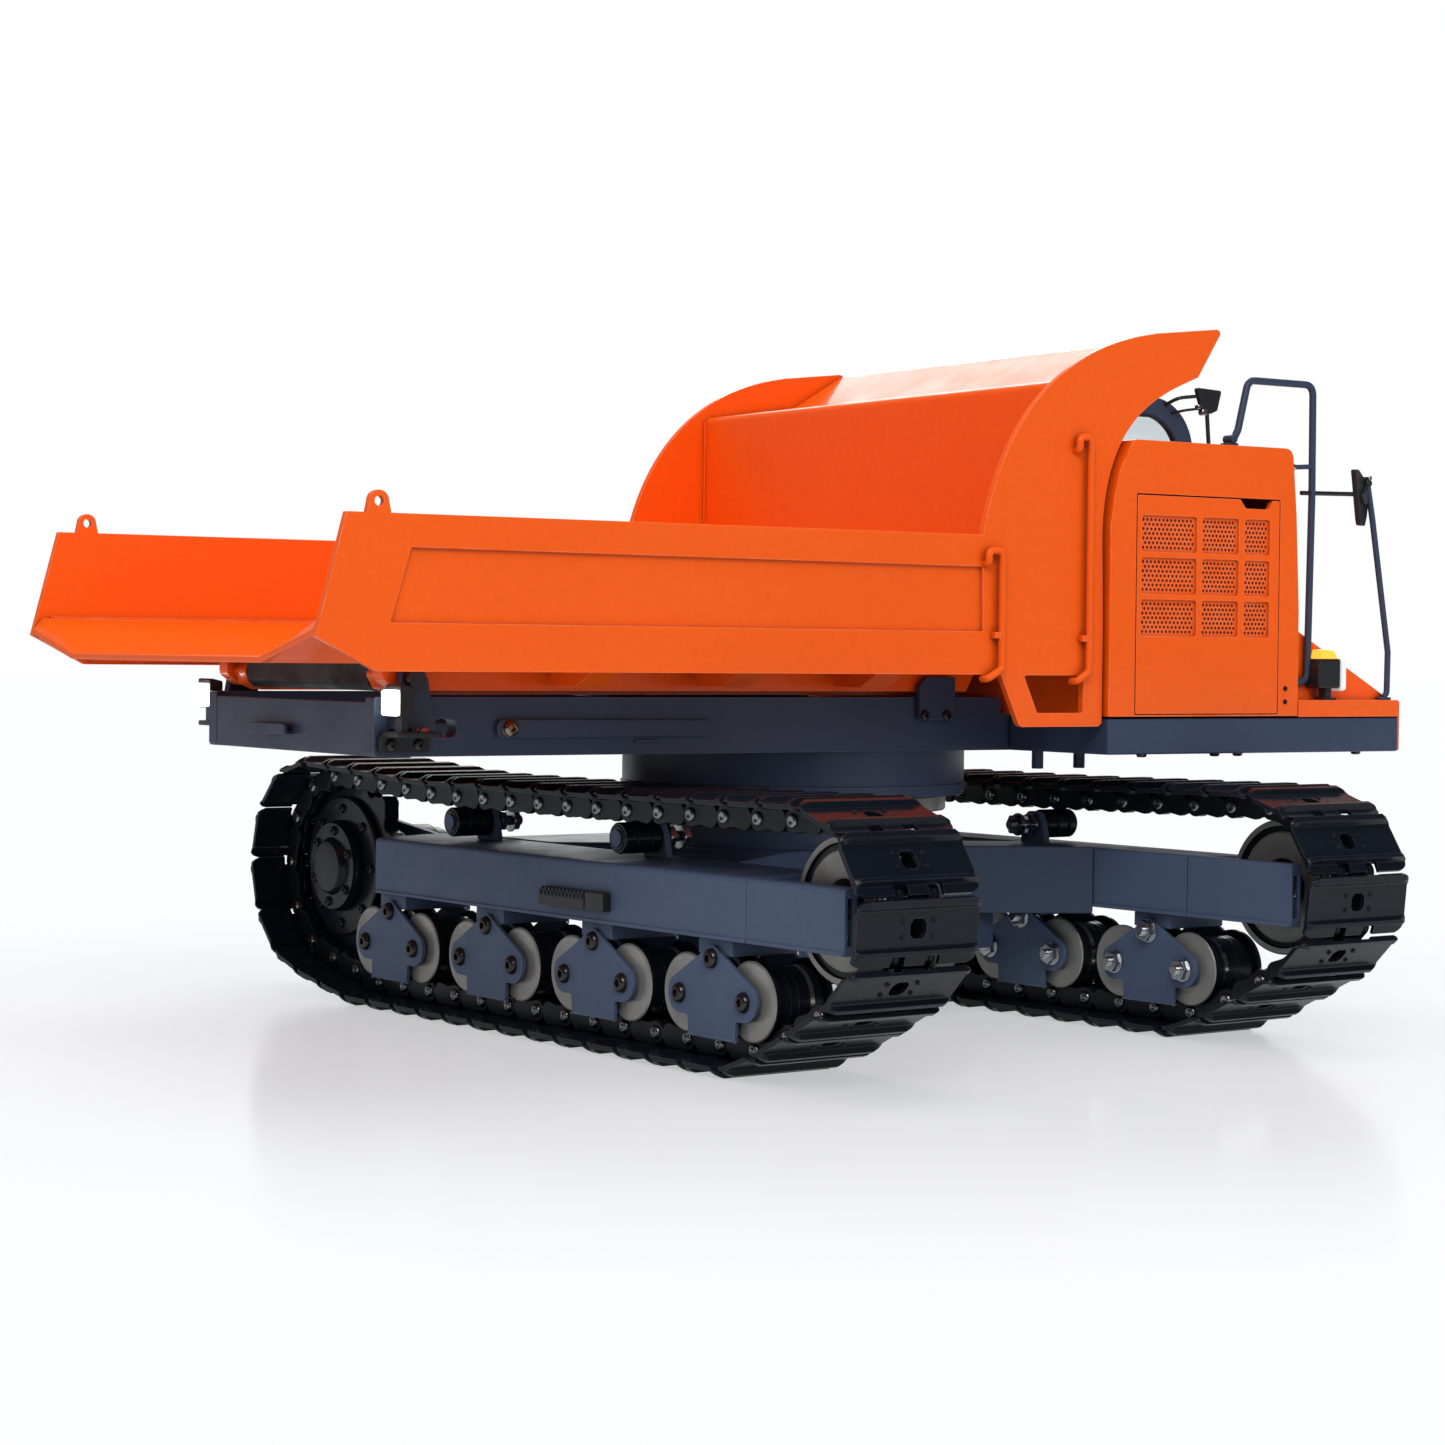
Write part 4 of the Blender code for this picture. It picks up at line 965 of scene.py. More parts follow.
def wheel(mesh, name, side, y, z, body, material, replaced, sharp=30):
    """A wheel with its origin on its axis, its outer face away from the middle."""
    matrix = track_frame(side, y, z, turned=side < 0)
    obj = placed(link(name, mesh.copy()), matrix)
    piece(obj, name, material, body, [replaced], sharp, pivot=matrix)


ROLLER, WAISTED_ROLLER = roller_mesh(False), roller_mesh(True)
IDLER, SPROCKET, CARRIER = idler_mesh(), sprocket_mesh(), carrier_mesh()
for side, word in SIDES:
    for number, y in enumerate(BOGIE_Y, 1):
        for way, letter in ((-1, "a"), (1, "b")):
            tag = f"{word}_{number}{letter}"
            mesh = WAISTED_ROLLER if (number, way) == (len(BOGIE_Y), 1) else ROLLER
            wheel(
                mesh, f"lower_roller_{tag}", side, y + way * OFFSET, ROLLER_Z, f"roller_{tag}",
                [BLACK, STEEL, POLISHED], f"track_roller_{tag}",
            )
    wheel(
        IDLER, f"front_idler_{word}", side, IDLER_Y, IDLER_Z, f"idler_{word}",
        [BLACK, STEEL], f"idler_wheel_{word}",
    )
    wheel(
        SPROCKET, f"drive_sprocket_{word}", side, SPROCKET_Y, SPROCKET_Z, f"sprocket_{word}",
        BLACK, f"sprocket_{word}", sharp=40,
    )
    for number, y in enumerate(CARRIER_Y, 1):
        wheel(
            CARRIER, f"top_roller_{word}_{number}", side, y, CARRIER_Z,
            f"carrier_{word}_{number}", BLACK, f"carrier_roller_{word}_{number}",
        )

# ------------------------------------------------------------------ bogies, beams, forks
BOGIE_PIN_Z = 29.7
# (outwards, z) of the box section that beam and fork share
BEAM_SECTION = softened(
    [(13.4, 35.0), (13.4, 51.9), (-13.4, 52.8), (-13.4, 35.0)], [0.6, 1.5, 1.3, 0.6], 5
)


def bogie_outline(middle):
    half = softened([(10.2, 7.3), (10.6, 14.0), (14.4, 14.05)], [0.5, 0.8, 0], 3)
    half += arc(OFFSET, ROLLER_Z, 5.4, -78, 44, 14) + arc(0, BOGIE_PIN_Z, 3.4, 44, 90, 6)
    return [(middle + y, z) for y, z in half] + [(middle - y, z) for y, z in reversed(half)]


def bogie(side, word, number, y):
    rollers = (y - OFFSET, y + OFFSET)
    parts = [
        bevelled(prism(bogie_outline(y), "YZ", span(side, *ends)), 0.28)
        for ends in ((10.8, 12.1), (-12.1, -10.8))
    ]
    for ends in ((9.95, 10.85), (-9.95, -10.85)):
        for roller in rollers:
            parts.append(bevelled(across(side, ends, roller, ROLLER_Z, 4.4, 36), 0.15, 1))
    parts.append(bevelled(box(span(side, -10.9, 10.9), (y - 7.5, y + 7.5), (30.5, 34.8)), 0.4))
    obj = under(join(*parts))
    name = f"bogie_frame_{word}_{number}"
    piece(obj, name, LIGHTENED_SLATE, "undercarriage", [f"bogie_{word}_{number}"])
    axles = [across(side, (-11, 11), roller, ROLLER_Z, 1.5, 20) for roller in rollers]
    piece(under(join(*axles)), f"bogie_axles_{word}_{number}", PINSTEEL, "undercarriage")


def bogie_fasteners(side, word):
    seats = [
        (y + offset, z) for y in BOGIE_Y
        for offset, z in ((-OFFSET, ROLLER_Z), (OFFSET, ROLLER_Z), (0, BOGIE_PIN_Z))
    ]

    def row(offset, turn):
        """Fasteners on every seat, each turned a little further than the last."""
        way = (math.copysign(side, side * offset), 0, 0)
        return [
            UNDER @ facing((out(side, offset), y, z), way) @ Matrix.Rotation(turn * i, 4, "X")
            for i, (y, z) in enumerate(seats)
        ]

    fasten(f"bogie_screws_{word}", row(12.1, 0.6), SCREW, body="undercarriage")
    nuts = row(-12.1, 0.9) + [
        UNDER @ facing((out(side, offset), y, CARRIER_Z), (-side, 0, 0))
        for y in CARRIER_Y for offset in (-10.6, -15.4)
    ]
    fasten(f"bogie_nuts_{word}", nuts, NUT, ZINC, "undercarriage")


def foot_lips(side, ys):
    """A lip along each foot edge of the box section."""
    pairs = ((12.4, 13.9), (-13.9, -12.4))
    return [bevelled(box(span(side, *pair), ys, (35.05, 36.1)), 0.3) for pair in pairs]


def carrier_bracket(side, y):
    ear = [(y - 6, 51), (y + 6, 51), (y + 4.2, 59), (y + 2.4, 62), (y - 2.4, 62), (y - 4.2, 59)]
    return [
        slab(ear, 1.0, 3, "YZ", span(side, -9.6, -7.4), 0.3),
        across(side, (-9.6, -16.0), y, CARRIER_Z, 1.45, 20),
        across(side, (-8, 5.5), y, CARRIER_Z, 1.3, 20),
        bevelled(across(side, (5.3, 6.2), y, CARRIER_Z, 2.5, 28), 0.25),
    ]


def track_beam(side, word):
    section = [(out(side, offset), z) for offset, z in BEAM_SECTION]
    beam = prism(section, "XZ", (-100.4, 88.5))
    round_end = arc(SPROCKET_Y, SPROCKET_Z, 15, -90, 90, 24)
    plate = [(70, 38), (84, 36.5), *round_end, (84, 51.0), (70, 50)]
    boolean(beam, prism(plate, "YZ", span(side, -13.1, -11.2)), "UNION")
    bevelled(beam, 0.8, 3, 40)
    parts = [beam, *foot_lips(side, (-100.2, 88.2))]
    for y in CARRIER_Y:
        parts += carrier_bracket(side, y)
    replaced = [f"track_frame_{word}"]
    piece(under(join(*parts)), f"track_beam_{word}", LIGHTENED_SLATE, "undercarriage", replaced)


def beam_step(side, word):
    depth = span(side, 13.2, 16)
    parts = [
        bevelled(box(depth, (-29.5, -6.5), (38.6, 43.0)), 0.3),
        bevelled(box(depth, (-39.0, -29.9), (38.6, 43.8)), 0.35),
    ]
    for i in range(12):
        y = 1.85 * i
        top_rib = box(span(side, 13.5, 15.9), (-28.9 + y, -27.9 + y), (42.8, 43.7))
        face_rib = box(span(side, 15.9, 16.35), (-28.7 + y, -28.1 + y), (41.4, 42.6))
        parts += [bevelled(top_rib, 0.12, 1), bevelled(face_rib, 0.1, 1)]
    piece(under(join(*parts)), f"beam_step_{word}", PLASTIC, "undercarriage")


def tension_fork(side, word):
    """The beam's section, open in the middle for the idler, with springs in its ends."""
    section = [(out(side, offset), z) for offset, z in BEAM_SECTION]
    fork = prism(section, "XZ", (-141.0, -100.7))
    cut(fork, box(span(side, -9.4, 9.4), (-143, -105.4), (30, 60)))
    for ends in ((10.6, 12.5), (-12.5, -10.6)):
        cut(fork, box(span(side, *ends), (-143, -136.5), (37.4, 49.4)))
    bevelled(fork, 0.8, 3, 40)
    obj = under(join(fork, *foot_lips(side, (-140.8, -101.0))))
    name = f"tension_fork_{word}"
    piece(obj, name, LIGHTENED_SLATE, "undercarriage", [f"tensioner_fork_{word}"])
    parts = [across(side, (-10.5, 10.5), IDLER_Y, IDLER_Z, 3.0, 32)]
    for way in (-1, 1):
        collar = across(side, (way * 9.3, way * 9.05), IDLER_Y, IDLER_Z, 5.2, 40)
        parts.append(bevelled(collar, 0.1, 1))
    piece(under(join(*parts)), f"idler_axle_{word}", PINSTEEL, "undercarriage")
    coils = []
    for offset in (11.55, -11.55):
        x = out(side, offset)
        turns = [
            (x + 0.62 * math.cos(k * 0.7), -140.2 + 0.09 * k, 43.4 + 4.6 * math.sin(k * 0.7))
            for k in range(40)
        ]
        coils.append(tube(turns, 0.28, 2))
    piece(under(join(*coils)), f"tension_springs_{word}", ZINC, "undercarriage")


def gear_motor(side, word):
    motor = revolve([
        (13.5, 0), (13.5, 12.0), (14.0, 12.5), (18.5, 12.5), (18.9, 11.9), (19.9, 11.9),
        (20.3, 12.5), (26.5, 12.5), (27.4, 11.4), (30.6, 11.4), (31.0, 10.9), (31.0, 0),
    ], 64)
    boss = revolve([(11.0, 0), (11.0, 4.0), (14.0, 4.0), (14.0, 0)], 40)
    caps = stamp(SMALL_SCREW, [about_x(a, 31.0, 8.6) for a in range(30, 390, 60)])
    matrix = track_frame(side, SPROCKET_Y, SPROCKET_Z, turned=side > 0)
    obj = placed(join(motor, boss, caps), matrix)
    replaced = [f"drive_motor_{word}"]
    piece(obj, f"gear_motor_{word}", PLASTIC, "undercarriage", replaced, sharp=30)


for side, word in SIDES:
    for number, y in enumerate(BOGIE_Y, 1):
        bogie(side, word, number, y)
    bogie_fasteners(side, word)
    track_beam(side, word)
    beam_step(side, word)
    tension_fork(side, word)
    gear_motor(side, word)


# ------------------------------------------------------------------ rounded copies of CAD nodes
def copied(node, name, material, body, width, segments=2):
    """A welded copy of a CAD node's mesh with its edges rounded; the node stays as it is."""
    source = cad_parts[node]
    mesh = source.data.copy()
    mesh.transform(source.matrix_world)
    mesh.materials.clear()
    bm = bmesh.new()
    bm.from_mesh(mesh)
    weld(bm, flat=0.5)
    bm.to_mesh(mesh)
    bm.free()
    piece(bevelled(link(name, mesh), width, segments, 34), name, material, body, [node])


copied("carbody_frame", "crossbeam_and_ring_seat", SLATE, "undercarriage", 0.8, 3)
copied("hydraulic_power_pack", "pump_block", PLASTIC, "upper", 0.8)
copied("bed_hinge_shaft", "bed_hinge_pin", OXIDE, "upper", 0.25)

# slewing bearing: (height above the frame's origin, radius)
race = revolve([(41.5, 30), (41.5, 45.6), (41.9, 46), (45.7, 46), (46.1, 45.6), (46.1, 30)], 128)
placed(race, UPRIGHT)
piece(under(race), "slew_bearing_race", STEEL, "undercarriage", ["slew_ring"])

# ------------------------------------------------------------------ chassis
CH_LOW, CH_HIGH, CH_REAR, CH_FRONT = 82.0, 97.5, -167.0, 150.0
RAIL_Y = 52.0  # outer face of each rail
HINGE_X, HINGE_Z = -157.3, 102.5
BASE_X, BASE_Z = 22.0, 90.5  # the lift cylinder's foot pin


def sided(side, start, end):
    return side * start, side * end


def chassis_rails():
    rail = softened(
        [(CH_REAR, CH_LOW), (CH_FRONT, CH_LOW), (CH_FRONT, 91.9), (38.0, 91.9),
         (38.0, CH_HIGH), (CH_REAR, CH_HIGH)],
        [1.2, 0.6, 0.6, 0.6, 0.6, 0.6], 4,
    )
    slot = softened(rect((-149.7, -143.0), (86.9, 91.9)), 2.3, 6)
    parts = [prism(rail, "XZ", sided(s, RAIL_Y, RAIL_Y - 5), [slot]) for s in (-1, 1)]
    # cross plates: x from, x to, top
    for start, end, top in (
        (CH_REAR + 0.1, CH_REAR + 3, 96.2), (-112, -104, 89), (-60, 60, 84),
        (142, CH_FRONT - 0.1, 91),
    ):
        parts.append(box((start, end), (-RAIL_Y + 1, RAIL_Y - 1), (CH_LOW + 0.1, top)))
    for s in (-1, 1):
        hinge_ear = [(HINGE_X - 5.5, 89.2), (HINGE_X + 7, 89.2), (HINGE_X + 4.6, HINGE_Z)]
        hinge_ear += arc(HINGE_X, HINGE_Z, 3.2, 20, 160, 12)
        parts.append(prism(hinge_ear, "XZ", sided(s, RAIL_Y - 0.4, RAIL_Y + 2.6)))
        base_ear = [(BASE_X - 6, 83), (BASE_X + 6, 83), (BASE_X + 3.3, BASE_Z + 0.8)]
        base_ear += arc(BASE_X, BASE_Z, 3.4, 20, 160, 10)
        parts.append(prism(base_ear, "XZ", sided(s, 6.0, 9.0)))
    for part in parts:
        bevelled(part, 0.4)
    parts.append(rod((BASE_X, -9.6, BASE_Z), (BASE_X, 9.6, BASE_Z), 1.5, 24))
    # a strip on each rail's outer face, and a small ledge under it
    strip = [(-131.6, 86.8), (-64.2, 86.8), (-64.2, 91.3), (-131.6, 91.7)]
    for s in (-1, 1):
        ends = sided(s, RAIL_Y - 0.2, RAIL_Y + 1.5)
        parts.append(slab(strip, [2.2, 0.8, 0.8, 2.2], 6, "XZ", ends, 0.3))
        ends = sided(s, RAIL_Y - 0.2, RAIL_Y + 0.7)
        parts.append(bevelled(box((-88.3, -81.2), ends, (85.1, 86.1)), 0.2, 1))
    piece(join(*parts), "chassis_rails", SLATE, replaces=["chassis_frame"])


chassis_rails()

# (height above the frame's origin, radius)
drum = revolve([
    (61.4, 0), (61.4, 51.5), (61.0, 51.5), (49.9, 51.5), (49.6, 52.0), (47.6, 52.0),
    (47.3, 51.6), (46.6, 51.6), (46.4, 51.2), (46.4, 0),
], 128)
piece(placed(drum, UPRIGHT), "turntable_drum", SLATE, sharp=30)

# rest brackets for the bed, on the rails, and the tab behind the rear cross plate
REST = [(6.9, 90.9), (19.6, 90.9), (19.9, 103.4), (9.4, 103.4), (6.9, 100.6)]
parts = [
    slab(REST, [1.5, 1.5, 0.4, 2.0, 2.0], 5, "XZ", sided(s, RAIL_Y + 0.05, RAIL_Y + 2.0), 0.25)
    for s in (-1, 1)
]
TAB = [(22.2, 86.5), (22.2, 89.4), (-3.6, 89.4), (-3.6, 86.5)]
parts.append(slab(TAB, 0.8, 3, "YZ", (CH_REAR - 2.6, CH_REAR - 1.6), 0.2))
for ys in ((-3.0, 2.0), (17.0, 22.0)):
    parts.append(bevelled(box((CH_REAR - 2.4, CH_REAR + 0.2), ys, (86.6, 87.6)), 0.2, 1))
piece(join(*parts), "rest_brackets", SLATE)


def on_rails(proud, z, xs):
    return [facing((x, s * (RAIL_Y + proud), z), (0, s, 0)) for s in (-1, 1) for x in xs]


spots = on_rails(2.0, 92.3, (8.7, 16.7)) + on_rails(1.85, 85.2, (-163.0, -155.0))
fasten("chassis_screws", spots)
fasten("strip_bolts", on_rails(1.5, 89.3, (-127.7,)), screw_master(2.4, 1.5, 1.05), BRONZED)
places = [(x, -92.0) for x in (58.0, 86.0, 95.0, 143.0)] + [(x, 92.0) for x in (58.0, 95.0, 143.0)]
fasten("platform_screws", [facing((x, y, CH_LOW), (0, 0, -1)) for x, y in places])
posts = [bevelled(rod((x, -49.2, 82.3), (x, -49.2, 76.2), 1.75, 24), 0.2, 1) for x in (54.6, 70.6)]
piece(join(*posts), "platform_standoffs", SLATE)

# ------------------------------------------------------------------ platform and deck
PLAT, P_REAR, P_FRONT = 97.0, 41.2, 156.6  # half width, rear and front ends
DECK_TOP = 97.5
HOOD_FRONT, SPLIT = 114.0, -9.3  # the hood's front, and Y where it stops before the cab

skirt_plan = softened(rect((P_REAR, P_FRONT), (-PLAT, PLAT)), [0.8, 2.2, 2.2, 0.8], 5)
skirt = prism(skirt_plan, "XY", (CH_LOW, 92.2))
cut(skirt, box((38, CH_FRONT + 0.3), (-RAIL_Y - 0.3, RAIL_Y + 0.3), (80, 93)))
bevelled(skirt, 0.9, 3, 40)
piece(skirt, "platform_side_skirt", SLATE, replaces=["platform_skirt"])

deck_plan = [
    (HOOD_FRONT + 0.4, -PLAT), (P_FRONT, -PLAT), (P_FRONT, PLAT), (P_REAR + 0.8, PLAT),
    (P_REAR + 0.8, SPLIT), (HOOD_FRONT + 0.4, SPLIT),
]
deck_plan = softened(deck_plan, [0.2, 2.2, 2.2, 0.5, 0.2, 0.2], 5)
deck = bevelled(prism(deck_plan, "XY", (92.5, DECK_TOP)), 0.5, 3, 40)
gusset = [(115.0, 97.2), (155.9, 97.2), (155.9, 98.8), (119.0, 118.4), (115.0, 118.4)]
gusset = slab(gusset, [0, 0, 0.6, 1.5, 0.4], 3, "XZ", (-90.6, -89.4), 0.25)
foot = bevelled(box((117, 154), (-90.0, -84.5), (97.4, 98.1)), 0.2, 1)
edge_strip = box((P_FRONT - 0.1, P_FRONT + 0.9), (-PLAT + 1.2, PLAT - 1.2), (82.2, 97.2))
whole = join(deck, gusset, foot, bevelled(edge_strip, 0.3))
piece(whole, "platform_deck", ORANGE, replaces=["front_deck"])

treads = []
for i in range(14):
    for j in range(4):
        spot = at((122 + 2.4 * i, -80 + 16 * j + (8 if i % 2 else 0), DECK_TOP))
        turn = Matrix.Rotation(math.radians(45 if i % 2 else -45), 4, "Z")
        treads.append(Matrix.Translation(spot) @ turn)
dash = mesh_of(revolve([(-1.3, 0.0), (-0.8, 0.35), (0, 0.45), (0.8, 0.35), (1.3, 0.0)], 8))
piece(stamp(dash, treads), "deck_tread_pattern", ORANGE, sharp=60)
fasten("deck_screws", [facing((x, -87.2, 98.1), (0, 0, 1)) for x in (128.0, 141.0, 152.0)])
fasten("cover_rivets", [facing((108.9, -PLAT, z), (0, -1, 0)) for z in (97.0, 100.9)], BOLT)

# ------------------------------------------------------------------ hood and its door
HOOD_TOP = 171.5


def hood_ring(inset, soft):
    rear, front, top = P_REAR + inset, HOOD_FRONT - inset, HOOD_TOP - inset
    low = 92.8 - 3 * inset
    ring = [
        (rear, low), (front, low), (front, 124), (front - 1.4, 152), (front - 3.2, top),
        (rear + 8.2, top), (rear + 3.2, 162.5), (rear + 1.2, 155), (rear, 147),
    ]
    return softened(ring, [0.3, 0.3, 20, 12, soft, 2.2, 8, 8, 10], 5)


hood = prism(hood_ring(0, 3.4), "XZ", (-PLAT, SPLIT - 0.5))
cut(hood, prism(hood_ring(2.0, 2.4), "XZ", (-PLAT + 2.0, SPLIT - 2.5)))
opening = softened(rect((50.7, 106.1), (93.3, 156.3)), 0.6, 3)
cut(hood, prism(opening, "XZ", (-PLAT - 2, -PLAT + 3)))
bevelled(hood, 0.7, 3, 38)
piece(hood, "engine_cover", ORANGE, replaces=["engine_hood"])

DOOR_REAR, DOOR_FRONT = 51.1, 105.7
VENT_COLUMNS = ((52.8, 73.6, 13), (75.8, 89.8, 9), (92.2, 102.0, 6))  # x from, x to, holes a row
VENT_LEVELS = (115.8, 127.8, 139.8)  # each window's foot
VENT_ROWS = 7


def vent_panel(start, end, count, low):
    """A perforated sheet behind one window, its rows of hexagonal holes staggered."""
    step_x, step_z = (end - start - 1.4) / count, 9.2 / VENT_ROWS
    holes = []
    for row in range(VENT_ROWS):
        for column in range(count):
            x = start + 0.7 + step_x * (column + (0.75 if row % 2 else 0.25))
            holes.append(hexagon(0.53, x, low + 0.6 + step_z * (row + 0.5)))
    outline = rect((start - 0.2, end + 0.2), (low - 0.2, low + 10.6))
    return prism(outline, "XZ", (-PLAT + 0.75, -PLAT + 1.15), holes)


door_ring = [
    (DOOR_REAR, 93.6), (DOOR_FRONT, 93.6), (DOOR_FRONT, 155.9), (103.0, 155.9),
    (101.4, 153.3), (92.4, 153.3), (90.2, 155.9), (DOOR_REAR, 155.9),
]
door_ring = softened(door_ring, [0.6, 0.6, 0.6, 0.3, 0.8, 0.8, 0.3, 0.6], 3)
door = prism(door_ring, "XZ", (-PLAT, -PLAT + 1.6))
for start, end, _ in VENT_COLUMNS:
    for low in VENT_LEVELS:
        window = softened(rect((start, end), (low, low + 10.4)), 0.9, 4)
        cut(door, prism(window, "XZ", (-PLAT - 1, -PLAT + 3)))
bevelled(door, 0.3, 2, 38)
panels = [vent_panel(*column, low) for column in VENT_COLUMNS for low in VENT_LEVELS]
piece(join(door, *panels), "side_door", ORANGE, "hood_door", ["hood_side_door"])
# a dark red sheet behind the vent holes: painted shade inside the hood
shade_sheet = bevelled(box((52.0, 103.0), (-PLAT + 1.2, -PLAT + 1.55), (114.8, 151.0)), 0.05, 1)
piece(shade_sheet, "side_door_shade_sheet", VENT_SHADE_SHEET, "hood_door")


def hinge_rods(x, y, heights, length, radius, edge):
    return join(*[
        bevelled(rod((x, y, z), (x, y, z + length), radius, 16), edge, 1) for z in heights
    ])


hinges = hinge_rods(DOOR_REAR + 0.1, -PLAT + 2.1, (100, 142), 7, 0.7, 0.1)
piece(hinges, "side_door_hinges", PINSTEEL, "hood_door")

# ------------------------------------------------------------------ cab
CAB_Y0, CAB_Y1, CAB_REAR, CAB_FRONT = -8.5, 92.0, 62.0, 152.0
CAB_TOP, CAB_LOW = 193.6, 97.8


def cab_ring(inset, low):
    ring = [(CAB_REAR + inset, low), (CAB_FRONT - 3 - inset, low)]
    ring += [(CAB_FRONT + 1.2 - inset, 135), (CAB_FRONT - 0.6 - inset, 175)]
    ring += arc(CAB_FRONT - 18.5, CAB_TOP - 17.5, 17.5 - inset, 8, 84, 14)
    return ring + arc(CAB_REAR + 15, CAB_TOP - 15, 15 - inset, 92, 176, 14)


def front_arc(radius, steps=12):
    """The round upper front corner of the side openings."""
    return arc(CAB_FRONT - 21.5, CAB_TOP - 20.5, radius, 10, 84, steps)


SIDE_GLASS = softened(
    [(CAB_REAR + 6, 130), (CAB_FRONT - 6, 130), (CAB_FRONT - 6, 172)], [3, 3, 0], 5
)
SIDE_GLASS += front_arc(14.5) + arc(CAB_REAR + 16, CAB_TOP - 16, 10, 92, 176, 10)

cab = prism(cab_ring(0, CAB_LOW), "XZ", (CAB_Y0, CAB_Y1))
cut(cab, prism(cab_ring(2.4, CAB_LOW - 5), "XZ", (CAB_Y0 + 2.4, CAB_Y1 - 2.4)))
cut(cab, prism(SIDE_GLASS, "XZ", (CAB_Y0 - 2, CAB_Y0 + 5)))
windscreen = softened(rect((CAB_Y0 + 7, CAB_Y1 - 7), (112, 189.4)), 3.5, 5)
rear_window = softened(rect((CAB_Y0 + 8, CAB_Y1 - 8), (128, 176)), 3.5, 5)
doorway = softened([(84, CAB_LOW + 4), (144, CAB_LOW + 4), (146.2, 172)], [1.5, 1.5, 0], 4)
doorway += front_arc(15) + [(84, CAB_TOP - 5.6)]
cut(
    cab,
    prism(windscreen, "YZ", (CAB_FRONT - 22, CAB_FRONT + 6)),
    prism(rear_window, "YZ", (CAB_REAR - 3, CAB_REAR + 6)),
    prism(doorway, "XZ", (CAB_Y1 - 5, CAB_Y1 + 2)),
)
bevelled(cab, 0.8, 3, 38)
roof = slab(rect((76, 136), (15, 70)), 5, 6, "XY", (CAB_TOP - 0.2, CAB_TOP + 0.9), 0.5, 3)
piece(join(cab, roof), "cab_frame", SLATE, replaces=["cab_shell"])

glass = prism(cab_ring(2.7, CAB_LOW + 2), "XZ", (CAB_Y0 + 2.7, CAB_Y1 - 2.7))
cut(
    glass,
    prism(cab_ring(3.5, CAB_LOW - 5), "XZ", (CAB_Y0 + 3.5, CAB_Y1 - 3.5)),
    box((82, 147.5), (CAB_Y1 - 7, CAB_Y1 + 2), (CAB_LOW - 2, 190)),
)
piece(glass, "cab_windows", GLASS, replaces=["cab_glass"], sharp=30)

front_seal = [*rect((CAB_Y0 + 7, CAB_Y1 - 7), (112, 176)), (CAB_Y0 + 7, 112.1)]
front_seal = [
    (CAB_FRONT + 0.9 - (0.02 * (z - 135) if z > 135 else 0), y, z)
    for y, z in softened(front_seal, 3.0, 4)
]
side_seal = [(x, CAB_Y0 + 0.1, z) for x, z in SIDE_GLASS + SIDE_GLASS[:1]]
piece(join(tube(side_seal, 0.55, 2), tube(front_seal, 0.5, 2)), "cab_gaskets", RUBBER)
wiper = join(
    tube([(CAB_FRONT + 2.2, 40, 112), (CAB_FRONT + 1.9, 52, 132), (CAB_FRONT + 1.4, 60, 146)],
         0.45, 2),
    bevelled(rod((CAB_FRONT + 1.2, 40, 111), (CAB_FRONT + 3.2, 40, 111), 1.6, 20), 0.2, 1),
    tube([(CAB_FRONT + 1.6, 56, 137), (CAB_FRONT + 0.9, 64, 158)], 0.6, 1),
)
piece(wiper, "windscreen_wiper", PLASTIC)

# entry door on the +Y side
leaf = softened([(84.3, CAB_LOW + 4.3), (143.7, CAB_LOW + 4.3), (145.9, 172)], [1.5, 1.5, 0], 4)
leaf += front_arc(14.7) + [(84.3, CAB_TOP - 5.9)]
pane = softened([(88, 128), (140.5, 128), (142.2, 171)], [2.5, 2.5, 0], 4)
pane += front_arc(11, 10) + [(88, CAB_TOP - 9.5)]
leaf = bevelled(prism(leaf, "XZ", (CAB_Y1 - 2.4, CAB_Y1), [pane]), 0.45)
piece(leaf, "cab_entry_door", SLATE, "cab_door", ["cab_door"])
pane = [(x + (0.4 if x < 110 else -0.3), z) for x, z in pane]
pane = prism(pane, "XZ", (CAB_Y1 - 1.6, CAB_Y1 - 0.9))
piece(pane, "cab_door_window", GLASS, "cab_door", sharp=30)
plate = slab(rect((134, 141), (119, 123.5)), 0.8, 3, "XZ", (CAB_Y1 - 0.2, CAB_Y1 + 0.7), 0.15, 1)
grip = [(135, 0.4), (135, 2.0), (140, 2.0), (140, 0.4)]
grip = rounded([(x, CAB_Y1 + proud, 121.2) for x, proud in grip], 0.8, 3)
piece(join(plate, tube(grip, 0.55, 2)), "cab_door_handle", PLASTIC, "cab_door")
hinges = hinge_rods(84.9, CAB_Y1 + 0.1, (108, 142, 176), 6, 0.8, 0.15)
piece(hinges, "cab_door_hinges", PLASTIC, "cab_door")

# second mirror, on arms at the windscreen's -Y edge
ARM_Y = CAB_Y0 - 6
upper_arm = [(139, CAB_Y0 + 2, 190.8), (139, ARM_Y, 193.2), (150, ARM_Y, 194.5)]
lower_arm = [(141, CAB_Y0 + 1, 188.6), (144, ARM_Y + 2, 189.6), (149.5, ARM_Y, 190.4)]
head = [(146.0, 196.9), (157.0, 196.4), (155.2, 189.8), (152.6, 188.7), (148.9, 189.2)]
arms = join(
    tube(rounded(upper_arm, 3, 6), 0.6, 3),
    tube(rounded(lower_arm, 2, 5), 0.45, 3),
    tube([(151.4, ARM_Y, 190), (155.0, ARM_Y, 150), (150.0, CAB_Y0 + 1.6, 134)], 0.7, 3),
    slab(head, 0.8, 3, "XZ", (ARM_Y - 1.0, ARM_Y + 0.6), 0.3),
)
piece(arms, "far_mirror_arms", PLASTIC)
